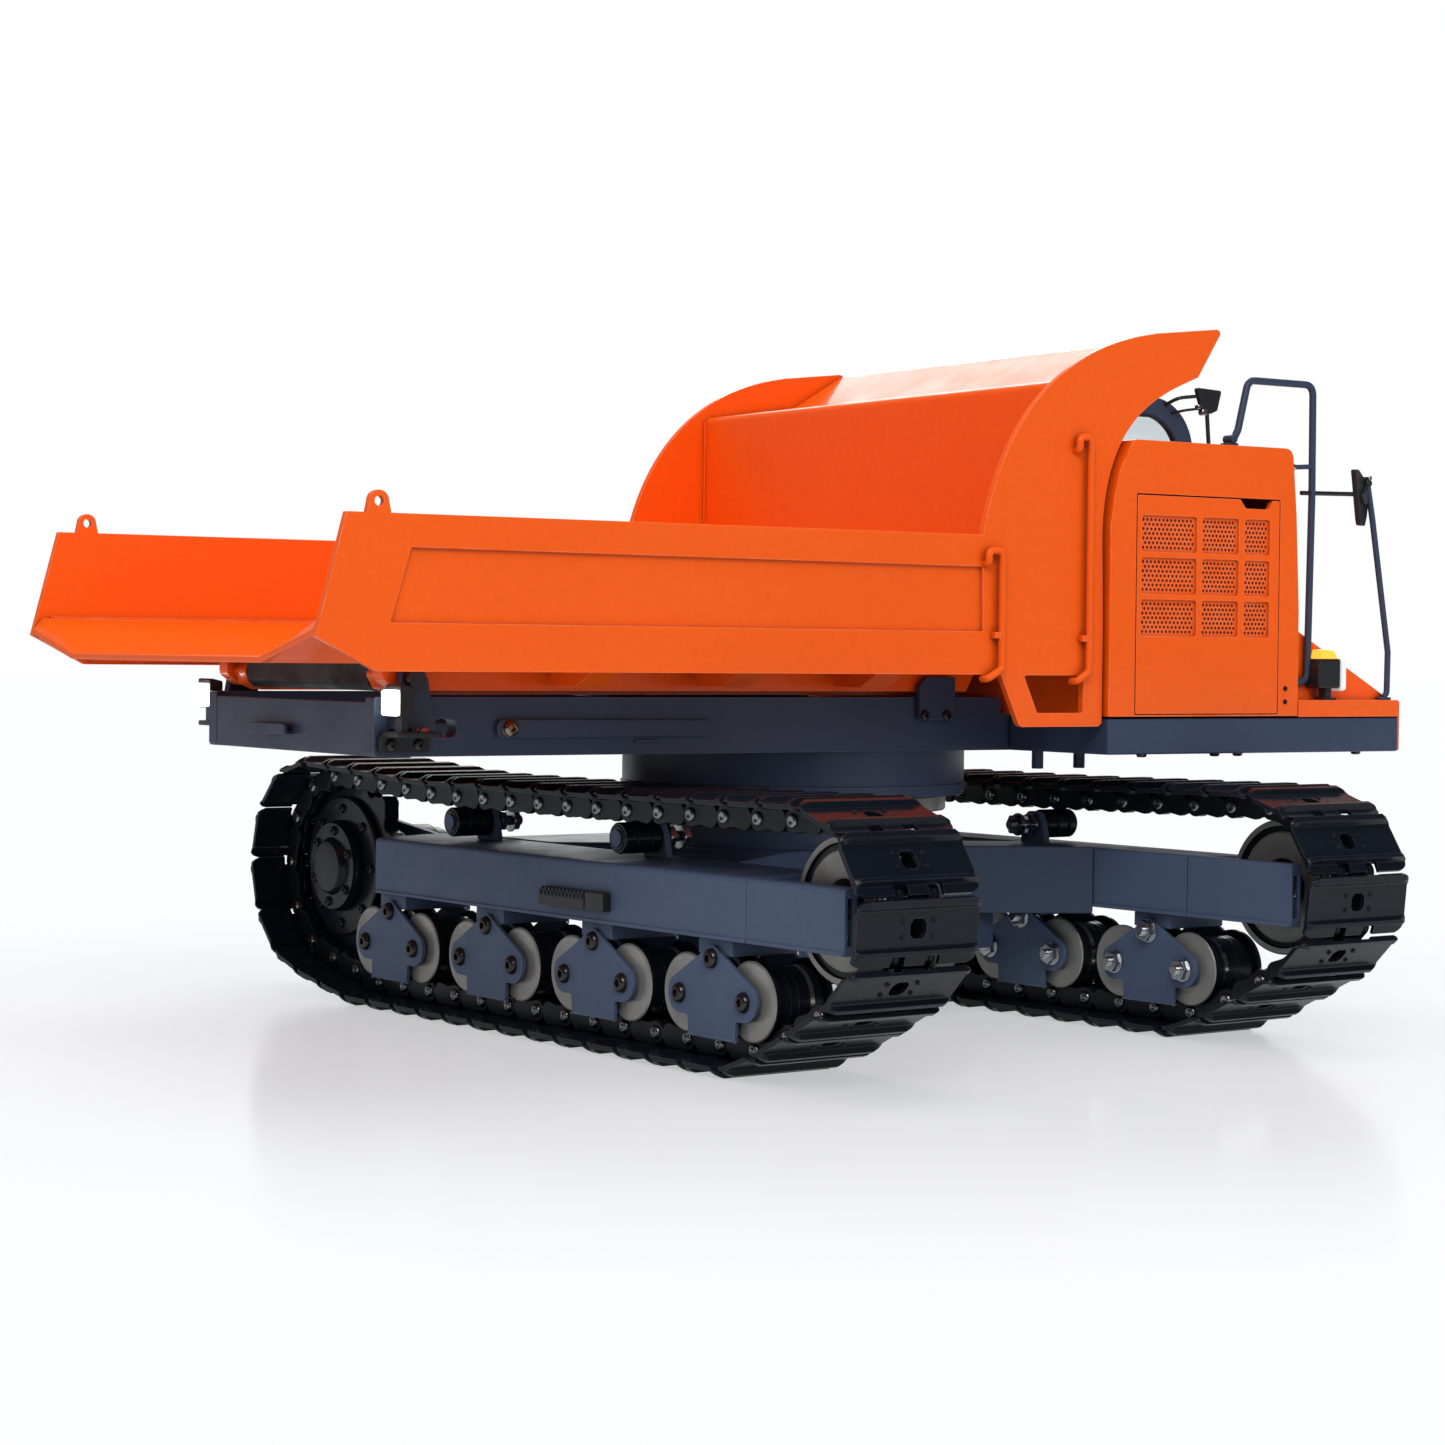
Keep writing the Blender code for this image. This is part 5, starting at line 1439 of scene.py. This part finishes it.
clamp = join(
    bevelled(rod((149.6, ARM_Y - 1.4, 189.2), (149.6, ARM_Y + 1.0, 189.2), 1.2, 16), 0.2, 1),
    bevelled(rod((147.6, ARM_Y - 1.2, 190.8), (147.6, ARM_Y + 0.8, 190.8), 0.8, 12), 0.15, 1),
)
piece(clamp, "far_mirror_clamp", ZINC)

# ------------------------------------------------------------------ operator's seat
SEAT_Y = 42


def cushion(x, z, size, tilt, crown, channels=()):
    """A padded block: crowned faces, sides pulled in, sewn channels across its top face."""
    half_x, half_y, half_z = (length / 2 for length in size)
    bm = bmesh.new()
    bmesh.ops.create_cube(bm, size=2)
    bmesh.ops.subdivide_edges(bm, edges=bm.edges, cuts=20, use_grid_fill=True)
    for vert in bm.verts:
        px, py, pz = vert.co
        # superellipse corners, then a crown that fades to the edge
        power = (abs(px) ** 6 + abs(py) ** 6) ** (1 / 6)
        shrink = min(1.0, max(abs(px), abs(py)) / max(power, 1e-6))
        px, py = px * shrink, py * shrink
        rise = (1 - px * px) * (1 - py * py)
        groove = 0.0
        if pz > 0.2:
            groove = sum(math.exp(-(((py - line) / 0.045) ** 2)) * 0.20 for line in channels)
        pull = 1 - 0.045 * (1 - min(abs(px), abs(py)) ** 2) * (1 - abs(pz))
        weight = pz if pz > 0 else -0.25 * pz
        height = pz * half_z + (crown * rise - groove * half_z) * weight
        vert.co = (px * half_x * pull * MM, py * half_y * pull * MM, height * MM)
    bmesh.ops.recalc_face_normals(bm, faces=bm.faces)
    obj = from_bmesh(bm)
    modifier = obj.modifiers.new("soft", "SUBSURF")
    modifier.levels = modifier.render_levels = 1
    turn = Matrix.Rotation(math.radians(tilt), 4, "Y")
    return placed(apply(obj), Matrix.Translation(at((x, SEAT_Y, z))) @ turn)


CHANNELS = (-0.45, 0.0, 0.45)
obj = cushion(96, 109.0, (30, 34, 7.0), 0, 1.4, CHANNELS)
piece(obj, "seat_cushion", SEAT, replaces=["operator_seat"], sharp=70)
obj = cushion(80.0, 131.5, (34, 32, 7.0), 84, 1.3, CHANNELS)
piece(obj, "seat_backrest", SEAT, sharp=70)
piece(cushion(77.6, 152.5, (7.5, 18, 4.6), 86, 0.8), "seat_headrest", SEAT, sharp=70)


def squared(value):
    return math.copysign(abs(value) ** 0.34, value)


def round_angles(count):
    return [2 * math.pi * i / count for i in range(count + 1)]


piping = [
    (96 + 14.6 * squared(math.cos(a)), SEAT_Y + 16.5 * squared(math.sin(a)), 111.0)
    for a in round_angles(72)
]
piece(join(tube(piping, 0.4, 2)), "seat_piping", RUBBER)

ARMREST = [(86, CAB_LOW), (120, CAB_LOW), (116, 118), (92, 114)]
CONSOLE = [(133, CAB_LOW), (147, CAB_LOW), (147, 116), (140, 121)]
LEVERS = ((108, 62), (112, 65), (108, 21))
wheel_rim = [
    (124.2 + 3.0 * math.cos(a), SEAT_Y + 9.0 * math.sin(a), 123.6 + 8.5 * 0.35 * math.cos(a))
    for a in round_angles(40)
]
fittings = [
    bevelled(box((84, 106), (30, 54), (CAB_LOW, 105.2)), 1.0, 3),
    *[slab(ARMREST, 2.0, 4, "XZ", ends, 0.8, 3) for ends in ((60, 68), (18, 26))],
    bevelled(rod((131, SEAT_Y, CAB_LOW + 1.2), (124, SEAT_Y, 123), 2.2, 24), 0.3),
    slab(CONSOLE, 2.0, 4, "XZ", (24, 60), 1.0, 3),
    tube(wheel_rim, 0.75, 3),
    *[tube([(x, y, 116), (x + 1.5, y, 124)], 0.5, 2) for x, y in LEVERS],
    *[bevelled(rod((x + 1.4, y, 123.4), (x + 1.9, y, 126.4), 1.3, 20), 0.5, 3)
      for x, y in LEVERS],
    bevelled(box((66, 147), (CAB_Y0 + 4, CAB_Y1 - 4), (CAB_LOW - 0.1, CAB_LOW + 0.6)), 0.2, 1),
]
piece(join(*fittings), "cab_fittings", PLASTIC)

# ------------------------------------------------------------------ handrail, side mirror
RAIL = -92.0  # Y of the handrail
# (x, z) of the two bent rails
TALL_RAIL = (
    (89.6, 172.6), (91.6, 173.6), (93.4, 176.4), (97.2, 191.2), (123.2, 191.2), (123.4, 158),
    (122.4, 102.7), (114.1, 102.9),
)
SHORT_RAIL = ((146.2, 163.2), (148.6, 152), (155.9, 112.0), (155.7, 99.4), (153.9, 98.2))


def rail_tube(points, bend, steps, radius):
    return tube(rounded([(x, RAIL, z) for x, z in points], bend, steps), radius, 4)


def rail_pin(x, z, half, radius, segments, edge, edge_segments=1):
    """A short rod across the handrail, along Y."""
    bar = rod((x, RAIL - half, z), (x, RAIL + half, z), radius, segments)
    return bevelled(bar, edge, edge_segments)


rail_bits = [
    rail_tube(TALL_RAIL, 3.4, 8, 1.1),
    rail_tube(SHORT_RAIL, 3, 6, 0.95),
    rail_pin(90.4, 173.6, 2.0, 1.3, 24, 0.3, 2),
    bevelled(box((88.0, 92.2), (RAIL - 1.8, RAIL + 1.8), (171.6, 172.5)), 0.2, 1),
    tube([(123.4, RAIL, 167.0), (114.4, RAIL, 166.4)], 0.75, 3),
    bevelled(rod((113.8, RAIL, 102.9), (115.0, RAIL, 102.9), 2.0, 24), 0.3),
    bevelled(box((152.2, 155.9), (RAIL - 1.8, RAIL + 1.8), (97.4, 98.3)), 0.25),
]
piece(join(*rail_bits), "guard_rail", SLATE, replaces=["handrail_with_mirror"])

MIRROR_FRAME = Matrix.Translation(Vector((143.4, -91.8, 0)) * MM)
MIRROR_FRAME = MIRROR_FRAME @ Matrix.Rotation(math.radians(-66.5), 4, "Z")


def mirror_plate(inset, ends, width, segments):
    """The mirror's outline in its own upright plane: wide at the top, narrow at the foot."""
    ring = [(-5.8, 166.8), (-3.0, 166.7), (5.8, 162.0), (3.9, 153.0), (2.3, 150.0), (-1.0, 150.2)]
    mid_y, mid_z = 0.2, 159.5
    share_y, share_z = 1 - inset / 5, 1 - inset / 8
    ring = [(mid_y + (y - mid_y) * share_y, mid_z + (z - mid_z) * share_z) for y, z in ring]
    return placed(slab(ring, 0.7, 3, "YZ", ends, width, segments), MIRROR_FRAME)


mirror_bits = [
    tube([(119.0, RAIL, 159.0), (140.6, RAIL - 0.4, 159.4)], 0.7, 3),
    mirror_plate(0.0, (-0.8, 0.9), 0.5, 3),
    placed(bevelled(rod((0.8, 0.6, 158.6), (2.0, 0.6, 158.6), 2.2, 24), 0.3), MIRROR_FRAME),
    rail_pin(146.2, 162.9, 1.2, 1.1, 20, 0.2),
    tube([(143.8, RAIL - 0.8, 158.8), (146.2, RAIL, 162.6)], 0.7, 3),
]
piece(mirror_plate(0.8, (-1.05, -0.7), 0.1, 1), "side_mirror_face", MIRROR)
piece(join(*mirror_bits), "side_mirror_housing", PLASTIC)
clamps = join(
    rail_pin(146.4, 164.4, 1.3, 0.7, 16, 0.15),
    bevelled(rod((114.4, RAIL, 166.4), (116.0, RAIL, 166.5), 1.1, 16), 0.15, 1),
)
piece(clamps, "rail_clamps", ZINC)

# ------------------------------------------------------------------ headlight
lamp = [(122.6, 101.0), (131.6, 101.0), (131.6, 109.8), (124.2, 109.8), (122.4, 107.6)]
housing = join(
    slab(lamp, 0.9, 4, "XZ", (-96.9, -91.1), 0.6, 3),
    bevelled(box((126.6, 129.4), (-95.4, -92.6), (97.8, 101.6)), 0.4),
    bevelled(box((125.4, 130.6), (-96.2, -92.2), (97.4, 98.3)), 0.2, 1),
)
piece(housing, "headlight_housing", PLASTIC, replaces=["headlight"])
obj = slab(rect((-97.3, -90.7), (100.2, 110.4)), 1.2, 4, "YZ", (131.5, 133.6), 0.5)
piece(obj, "headlight_lens", CLEAR_LENS)
marker = [(124.0, 109.6), (131.4, 109.6), (129.4, 112.2), (124.8, 112.6)]
piece(slab(marker, 0.6, 3, "XZ", (-96.1, -91.7), 0.3), "marker_lens", AMBER)

# ------------------------------------------------------------------ tail lamps
LAMP_BODY = [(-165.4, 92.3), (-161.4, 93.2), (-161.4, 100.2), (-165.4, 101.1)]
for side, word in SIDES:
    low, high = sorted(sided(side, RAIL_Y + 3.2, RAIL_Y + 11.5))
    tray = rect((-165.6, -153), sorted(sided(side, RAIL_Y + 0.3, RAIL_Y + 11.5)))
    tongue = rect((-166.2, -151.6), (83.0, 88.2))
    housing = join(
        slab(LAMP_BODY, 0.7, 3, "XZ", (low, high), 0.5, 3),
        slab(tray, 1.2, 4, "XY", (87.4, 88.8), 0.25),
        slab(tongue, 1.6, 4, "XZ", sided(side, RAIL_Y + 0.3, RAIL_Y + 1.8), 0.25),
        bevelled(box((-164, -162), (low + 2, high - 2), (88.2, 93.6)), 0.3),
    )
    piece(housing, f"tail_light_{word}", PLASTIC, replaces=[f"tail_lamp_{word}"])
    face = rect((low + 0.3, high - 0.3), (92.9, 99.5))
    face = slab(face, 1.0, 4, "YZ", (-166.9, -165.2), 0.45, 3)
    piece(face, f"tail_light_lens_{word}", WHITE_LENS)
    spots = [facing((-157.5, side * (RAIL_Y + y), 88.8), (0, 0, 1)) for y in (6.0, 9.4)]
    fasten(f"tail_light_screws_{word}", spots, material=ZINC)

# ------------------------------------------------------------------ dump bed
HALF, INNER = 95.0, 93.0  # outer and inner faces of the side walls
FOLD, FLOOR_LOW, FLOOR_TOP, FLOOR_HALF, HEAD = 118.0, 106.2, 107.8, 63.0, 27.3

# (x, z) round a side wall: tail, foot, front edge, canopy guard, then back along the top
guard_outer = bezier((-2.8, 143.0), (8.2, 196.3), (51.7, 200.5), (59.2, 202.2), 44)
guard_inner = bezier((75.0, 190.5), (61.3, 184.9), (40.3, 178.4), (39.8, 144.0), 36)
BED_SIDE = [
    (-204.5, 112.9), (-188.3, 104.5), (3.9, 104.5), (10.4, 90.8), (11.6, 90.0), (39.2, 90.0),
    (40.4, 91.0), (40.4, 120), *reversed(guard_inner), (83.4, 203.4), (83.0, 204.5),
    (82.0, 204.8), *reversed(guard_outer), (-184.4, 143.0),
    *arc(-187.7, 145.8, 2.7, 0, 180, 16), (-191.0, 143.0), (-196.5, 143.0),
]
FOOT_HOLE = softened([(12.1, 104.4), (33.5, 104.4), (33.3, 93.9), (17.0, 93.9)], 0.8, 4)
LUG_HOLE = arc(-187.7, 145.8, 1.25, 0, 345, 23)
PANEL = softened([(-178.9, 134.8), (-184.5, 116.4), (-2.6, 116.4), (-2.9, 134.2)], 0.4, 3)
for side, word in SIDES:
    wall = prism(BED_SIDE, "XZ", sided(side, INNER, HALF), [FOOT_HOLE, LUG_HOLE])
    cut(wall, prism(PANEL, "XZ", sided(side, HALF - 1.1, HALF + 1)))
    bevelled(wall, 0.26, 2, 38)
    replaced = ["dump_bed"] if word == "near" else ()
    piece(wall, f"bed_side_{word}", ORANGE, "bed", replaced)


def sheet_section(edge):
    """(y, z) round the folded floor sheet, whose sloping sides end at this height."""
    wall, folds = INNER - 0.2, [0, 6, 6, 0]
    low = [(-wall, edge - 1.6), (-FLOOR_HALF, FLOOR_LOW), (FLOOR_HALF, FLOOR_LOW),
           (wall, edge - 1.6)]
    top_half = FLOOR_HALF - 0.5
    high = [(wall, edge), (top_half, FLOOR_TOP), (-top_half, FLOOR_TOP), (-wall, edge)]
    return softened(low, folds, 8) + softened(high, folds, 8)


# floor stations: x, height of the sheet's side edges
FLOOR_STATIONS = (
    (HEAD + 0.5, FOLD), (-60.0, FOLD), (-140.0, FOLD), (-201.6, FOLD), (-204.2, 114.6),
)
floor_sheet = loft([
    [(x * MM, y * MM, (z + GROUND.z) * MM) for y, z in sheet_section(edge)]
    for x, edge in FLOOR_STATIONS
])
bevelled(floor_sheet, 0.25, 2, 38)
skirt = [(-186.0, 105.2), (3.9, 105.2), (3.9, 118.0), (-198.0, 118.0), (-198.0, 112.0)]
skirts = [prism(skirt, "XZ", sided(s, INNER - 0.9, INNER + 0.1)) for s in (-1, 1)]
piece(join(floor_sheet, *skirts), "bed_floor_sheet", ORANGE, "bed")

# (x, z) round the headboard and the canopy it folds into
HEADBOARD = [
    (HEAD, 106.6), (HEAD + 1.8, 106.6), (HEAD + 1.8, 185.4), (63.4, 190.6), (82.3, 202.2),
    (81.6, 203.6), (62.8, 192.4), (HEAD, 187.2),
]
board = softened(HEADBOARD, [0, 0, 2.5, 3, 0.3, 0.3, 3, 2.5], 6)
board = bevelled(prism(board, "XZ", (-INNER - 0.1, INNER + 0.1)), 0.25, 2, 38)
piece(board, "bed_headboard", ORANGE, "bed")


def bead(points, y, radius):
    """A weld bead: a tube whose thickness ripples like laid filler."""
    obj = tube([(x, y, z) for x, z in points], radius, 2)
    for vert in obj.data.vertices:
        ripple = 1 + 0.10 * math.sin(vert.co.x * 5200 + vert.co.z * 5200)
        vert.co.y = y * MM + (vert.co.y - y * MM) * ripple
    return obj


welds = []
for s in (-1, 1):
    y = s * (INNER - 0.25)
    welds.append(bead([(HEAD - 0.1, 108 + i * 1.2) for i in range(66)], y, 0.5))
    welds.append(bead([(-199 + i * 2.0, FOLD + 0.1) for i in range(113)], y, 0.45))
piece(join(*welds), "bed_weld_seams", ORANGE, "bed", sharp=60)

CROWN_X, CROWN_Z = -98.0, 101.0  # the lift cylinder's upper pin


def bed_understructure():
    under_floor = FLOOR_LOW + 0.3
    beam = [(-160.5, under_floor), (-162.6, 103.4), (-160.6, 99.6), (-157.0, 98.0),
            (26.0, 98.0), (30.0, under_floor)]
    beam = softened(beam, [0.3, 1.5, 1.5, 1.5, 1.0, 0.3], 4)
    outer_beam = [(-164.4, under_floor), (-164.4, 102.4), (-160.0, 99.2), (26.0, 99.2),
                  (30.0, under_floor)]
    outer_beam = softened(outer_beam, [0.3, 2.2, 2.2, 0.8, 0.3], 5)
    rib = [(RAIL_Y + 3.0, 100.5), (68.0, 100.5), (86.0, 109.0), (86.0, 111.6),
           (FLOOR_HALF + 1.0, FLOOR_LOW + 0.4), (RAIL_Y + 3.0, FLOOR_LOW + 0.4)]
    lug = [(CROWN_X - 8, under_floor), *arc(CROWN_X, CROWN_Z, 3.2, 200, 340, 12),
           (CROWN_X + 8, under_floor)]
    parts = []
    for s in (-1, 1):
        parts.append(prism(beam, "XZ", sided(s, 38.0, 45.5)))
        ring = softened([(s * y, z) for y, z in rib], [0.8, 2.0, 1.0, 0.2, 0.2, 0.2], 3)
        parts += [prism(ring, "YZ", (x - 4.5, x + 4.5)) for x in (-112, -66, -20)]
        parts.append(prism(lug, "XZ", sided(s, 3.9, 6.4)))
    parts.append(box((-60, -54), (-38.5, 38.5), (101.5, under_floor)))
    parts += [prism(outer_beam, "XZ", sided(s, 45.6, 51.0)) for s in (-1, 1)]
    for part in parts:
        bevelled(part, 0.35)
    piece(join(*parts), "bed_understructure", ORANGE, "bed")


bed_understructure()
# the bed's hinge tube is made black: painted shade for the dark space under the bed
hinge_tube = [
    (-161.6, FLOOR_LOW + 0.2), (-161.8, 100.6), (-159.6, 98.9), (-153.0, 98.9),
    (-150.0, 100.6), (-148.0, FLOOR_LOW + 0.2),
]
hinge_tube = slab(hinge_tube, [0.3, 1.5, 1.5, 1.5, 1.5, 0.3], 4, "XZ", (-37.9, 37.9), 0.4)
piece(hinge_tube, "bed_hinge_tube", RUBBER, "bed")
pin = bevelled(rod((CROWN_X, -6.9, CROWN_Z), (CROWN_X, 6.9, CROWN_Z), 1.4, 24), 0.2, 1)
piece(pin, "bed_cylinder_pin", ZINC, "bed")

handles = []
y, wall_y = -HALF - 1.9, -HALF + 0.6
for x0, x1, low, high in ((29.6, 33.8, 102.8, 171.2), (-2.2, 2.6, 103.4, 138.6)):
    path = [
        (x0, wall_y, high - 3.6), (x0, y, high - 3.6), (x0, y, high), (x1, y, high),
        (x1, y, low + 2.6), (x0, y, low), (x0, wall_y, low),
    ]
    handles.append(tube(rounded(path, 2.0, 6), 1.05, 4))
    z = low + 12
    stay = box((x1 - 2.6, x1 + 0.2), (y - 0.6, -HALF + 0.3), (z - 0.9, z + 0.9))
    handles.append(bevelled(stay, 0.3))
piece(join(*handles), "bed_grab_handles", ORANGE, "bed")

# ------------------------------------------------------------------ lift cylinder
base, head_pin = Vector((BASE_X, 0, BASE_Z)), Vector((CROWN_X, 0, CROWN_Z))
way = (head_pin - base).normalized()
lift = Vector((way.z, 0, -way.x))  # square to the cylinder, upwards
along_cylinder = facing(base, way)

barrel = revolve([
    (3.2, 0), (3.2, 4.6), (3.6, 5.0), (9.0, 5.0), (9.3, 5.35), (11.0, 5.35), (11.3, 5.0),
    (66.5, 5.0), (66.9, 5.5), (71.0, 5.5), (71.6, 5.1), (72, 4.6), (72, 2.2), (8, 2.2), (8, 0),
], 48)
placed(barrel, along_cylinder)
eye = revolve([(-5.3, 1.9), (-5.3, 3.3), (-5.0, 3.6), (5.0, 3.6), (5.3, 3.3), (5.3, 1.9)], 40)
placed(eye, Matrix.Translation(at(base)) @ Matrix.Rotation(math.pi / 2, 4, "Z"))
port = bevelled(rod(base + way * 14 + lift * -4.6, base + way * 14 + lift * -6.8, 1.6, 6), 0.2, 1)
piece(
    join(barrel, eye, port), "lift_cylinder_barrel", BLACK, "cylinder_barrel",
    ["dump_cylinder_barrel"], sharp=30,
)


def capsule(start, start_r, end, end_r, steps):
    """(x, z) round two circles."""
    turn = math.degrees(math.atan2(end.z - start.z, end.x - start.x))
    ring = arc(start.x, start.z, start_r, turn + 90, turn + 270, steps)
    return ring + arc(end.x, end.z, end_r, turn - 90, turn + 90, steps)


rod_bar = revolve([
    (44, 0), (44, 2.1), (44.4, 2.1), (117.0, 1.9), (117.4, 1.7), (117.4, 0),
], 40)
placed(rod_bar, along_cylinder)
drift = head_pin - way * 3.45 + lift * 2.3
lug_slot = capsule(head_pin, 1.8, drift, 1.8, 12)
lug = prism(capsule(head_pin, 3.0, drift, 2.6, 14), "XZ", (-3.4, 3.4), [lug_slot])
bevelled(lug, 0.3)
cut(rod_bar, prism(capsule(head_pin, 1.9, drift, 1.9, 12), "XZ", (-5, 5)))
piece(
    join(rod_bar, lug), "lift_cylinder_rod", RODSTEEL, "cylinder_rod",
    ["dump_cylinder_rod"], sharp=35,
)


# ------------------------------------------------------------------ floor
def floor_material():
    """A pale floor that fades to a plain glow away from the model."""
    shader = Shader("pale_floor")
    gloss = shader.ramp(shader.noise(scale=6.0, detail=2.0), to=(0.12, 0.22))
    shader.surface({"Base Color": (0.80, 0.81, 0.85), "Roughness": gloss})
    # full strength to the camera, less to other rays
    camera_ray = shader.add("LightPath", output="Is Camera Ray")
    strength = shader.ramp(camera_ray, to=(0.66, 1.0), over=(0.0, 1.0))
    glow = shader.add("Emission", {0: (0.985, 0.99, 1), 1: strength})
    place = shader.add("NewGeometry", output="Position")
    distance = shader.add("VectorMath", {0: place}, output="Value", operation="LENGTH")
    fade = shader.ramp(distance, to=(0.5, 1.0), over=(0.20, 0.44), smooth=True)
    mix = shader.add("MixShader", {0: fade, 1: shader.base, 2: glow})
    shader.feed(shader.output, {0: mix})
    return shader.owner


bm = bmesh.new()
bmesh.ops.create_grid(bm, x_segments=2, y_segments=2, size=9.0)
bmesh.ops.translate(bm, vec=(0, 0, GROUND.z * MM - 0.00005), verts=bm.verts)
floor = from_bmesh(bm, "floor")
floor.data.materials.append(floor_material())
floor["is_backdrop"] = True

# ------------------------------------------------------------------ world
world = bpy.data.worlds.new("studio")
bpy.context.scene.world = world
sky = Nodes(world, "ShaderNodeOutputWorld")
ray = sky.add("LightPath").node.outputs
# reflections brighten towards one side of the horizon
direction = sky.add("TexCoord", output="Generated")
toward = sky.add(
    "VectorMath", {0: direction, 1: (0.549, 0.836, 0.0)}, output="Value", operation="DOT_PRODUCT"
)
brightness = sky.ramp(toward, to=(0.03, 0.8), over=(0.35, 1.0), smooth=True)
even = sky.add("Background", {0: (0.95, 0.97, 1.0), 1: 0.62})
mirrored = sky.add("Background", {0: (0.96, 0.98, 1.0), 1: brightness})
seen = sky.add("Background", {0: (1, 1, 1), 1: 1.0})
unseen = sky.add("MixShader", {0: ray["Is Glossy Ray"], 1: even, 2: mirrored})
sky.feed(sky.output, {0: sky.add("MixShader", {0: ray["Is Camera Ray"], 1: unseen, 2: seen})})


# ------------------------------------------------------------------ lights, in metres and watts
def area(name, place, target_z, size, energy, glossy=True):
    """A softbox aimed at a point on the Z axis; glossy lets it show in reflections."""
    data = bpy.data.lights.new(name, "AREA")
    data.shape = "RECTANGLE"
    data.size, data.size_y = size
    data.energy = energy
    obj = link(name, data)
    obj.location = place
    obj.rotation_mode = "QUATERNION"
    way = Vector((0, 0, target_z)) - Vector(place)
    obj.rotation_quaternion = way.to_track_quat("-Z", "Y")
    obj.visible_glossy = glossy


area("key_softbox", (-0.75, -1.15, 1.05), target_z=0.06, size=(0.9, 0.7), energy=11.5)
area(
    "fill_softbox", (0.55, -1.25, 0.35), target_z=0.06, size=(0.6, 0.7), energy=1.6,
    glossy=False,
)
area(
    "top_softbox", (0.05, 0.05, 1.35), target_z=0.05, size=(1.0, 1.0), energy=7.5,
    glossy=False,
)
area("back_softbox", (0.9, 1.1, 0.8), target_z=0.08, size=(0.8, 0.6), energy=6)

# ------------------------------------------------------------------ camera
CAMERA_PLACE = (-0.524377, -0.759867, 0.088332)
YAW, PITCH_UP, ROLL = 0.5809, -0.0234, 0.0101  # radians; yaw runs from +Y towards +X

forward = Vector((
    math.sin(YAW) * math.cos(PITCH_UP), math.cos(YAW) * math.cos(PITCH_UP), math.sin(PITCH_UP)
))
level = Vector((math.cos(YAW), -math.sin(YAW), 0))
upright = level.cross(forward)
right = level * math.cos(ROLL) + upright * math.sin(ROLL)
upward = -level * math.sin(ROLL) + upright * math.cos(ROLL)
camera_data = bpy.data.cameras.new("camera")
camera_data.lens, camera_data.sensor_width = 76.25, 36.0
camera_data.clip_start, camera_data.clip_end = 0.02, 50
camera = link("camera", camera_data)
matrix = Matrix((right, upward, -forward)).transposed().to_4x4()
matrix.translation = Vector(CAMERA_PLACE)
camera.matrix_world = matrix
bpy.context.scene.camera = camera
bpy.context.scene.view_settings.view_transform = "Standard"

bpy.context.view_layer.update()
low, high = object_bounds()
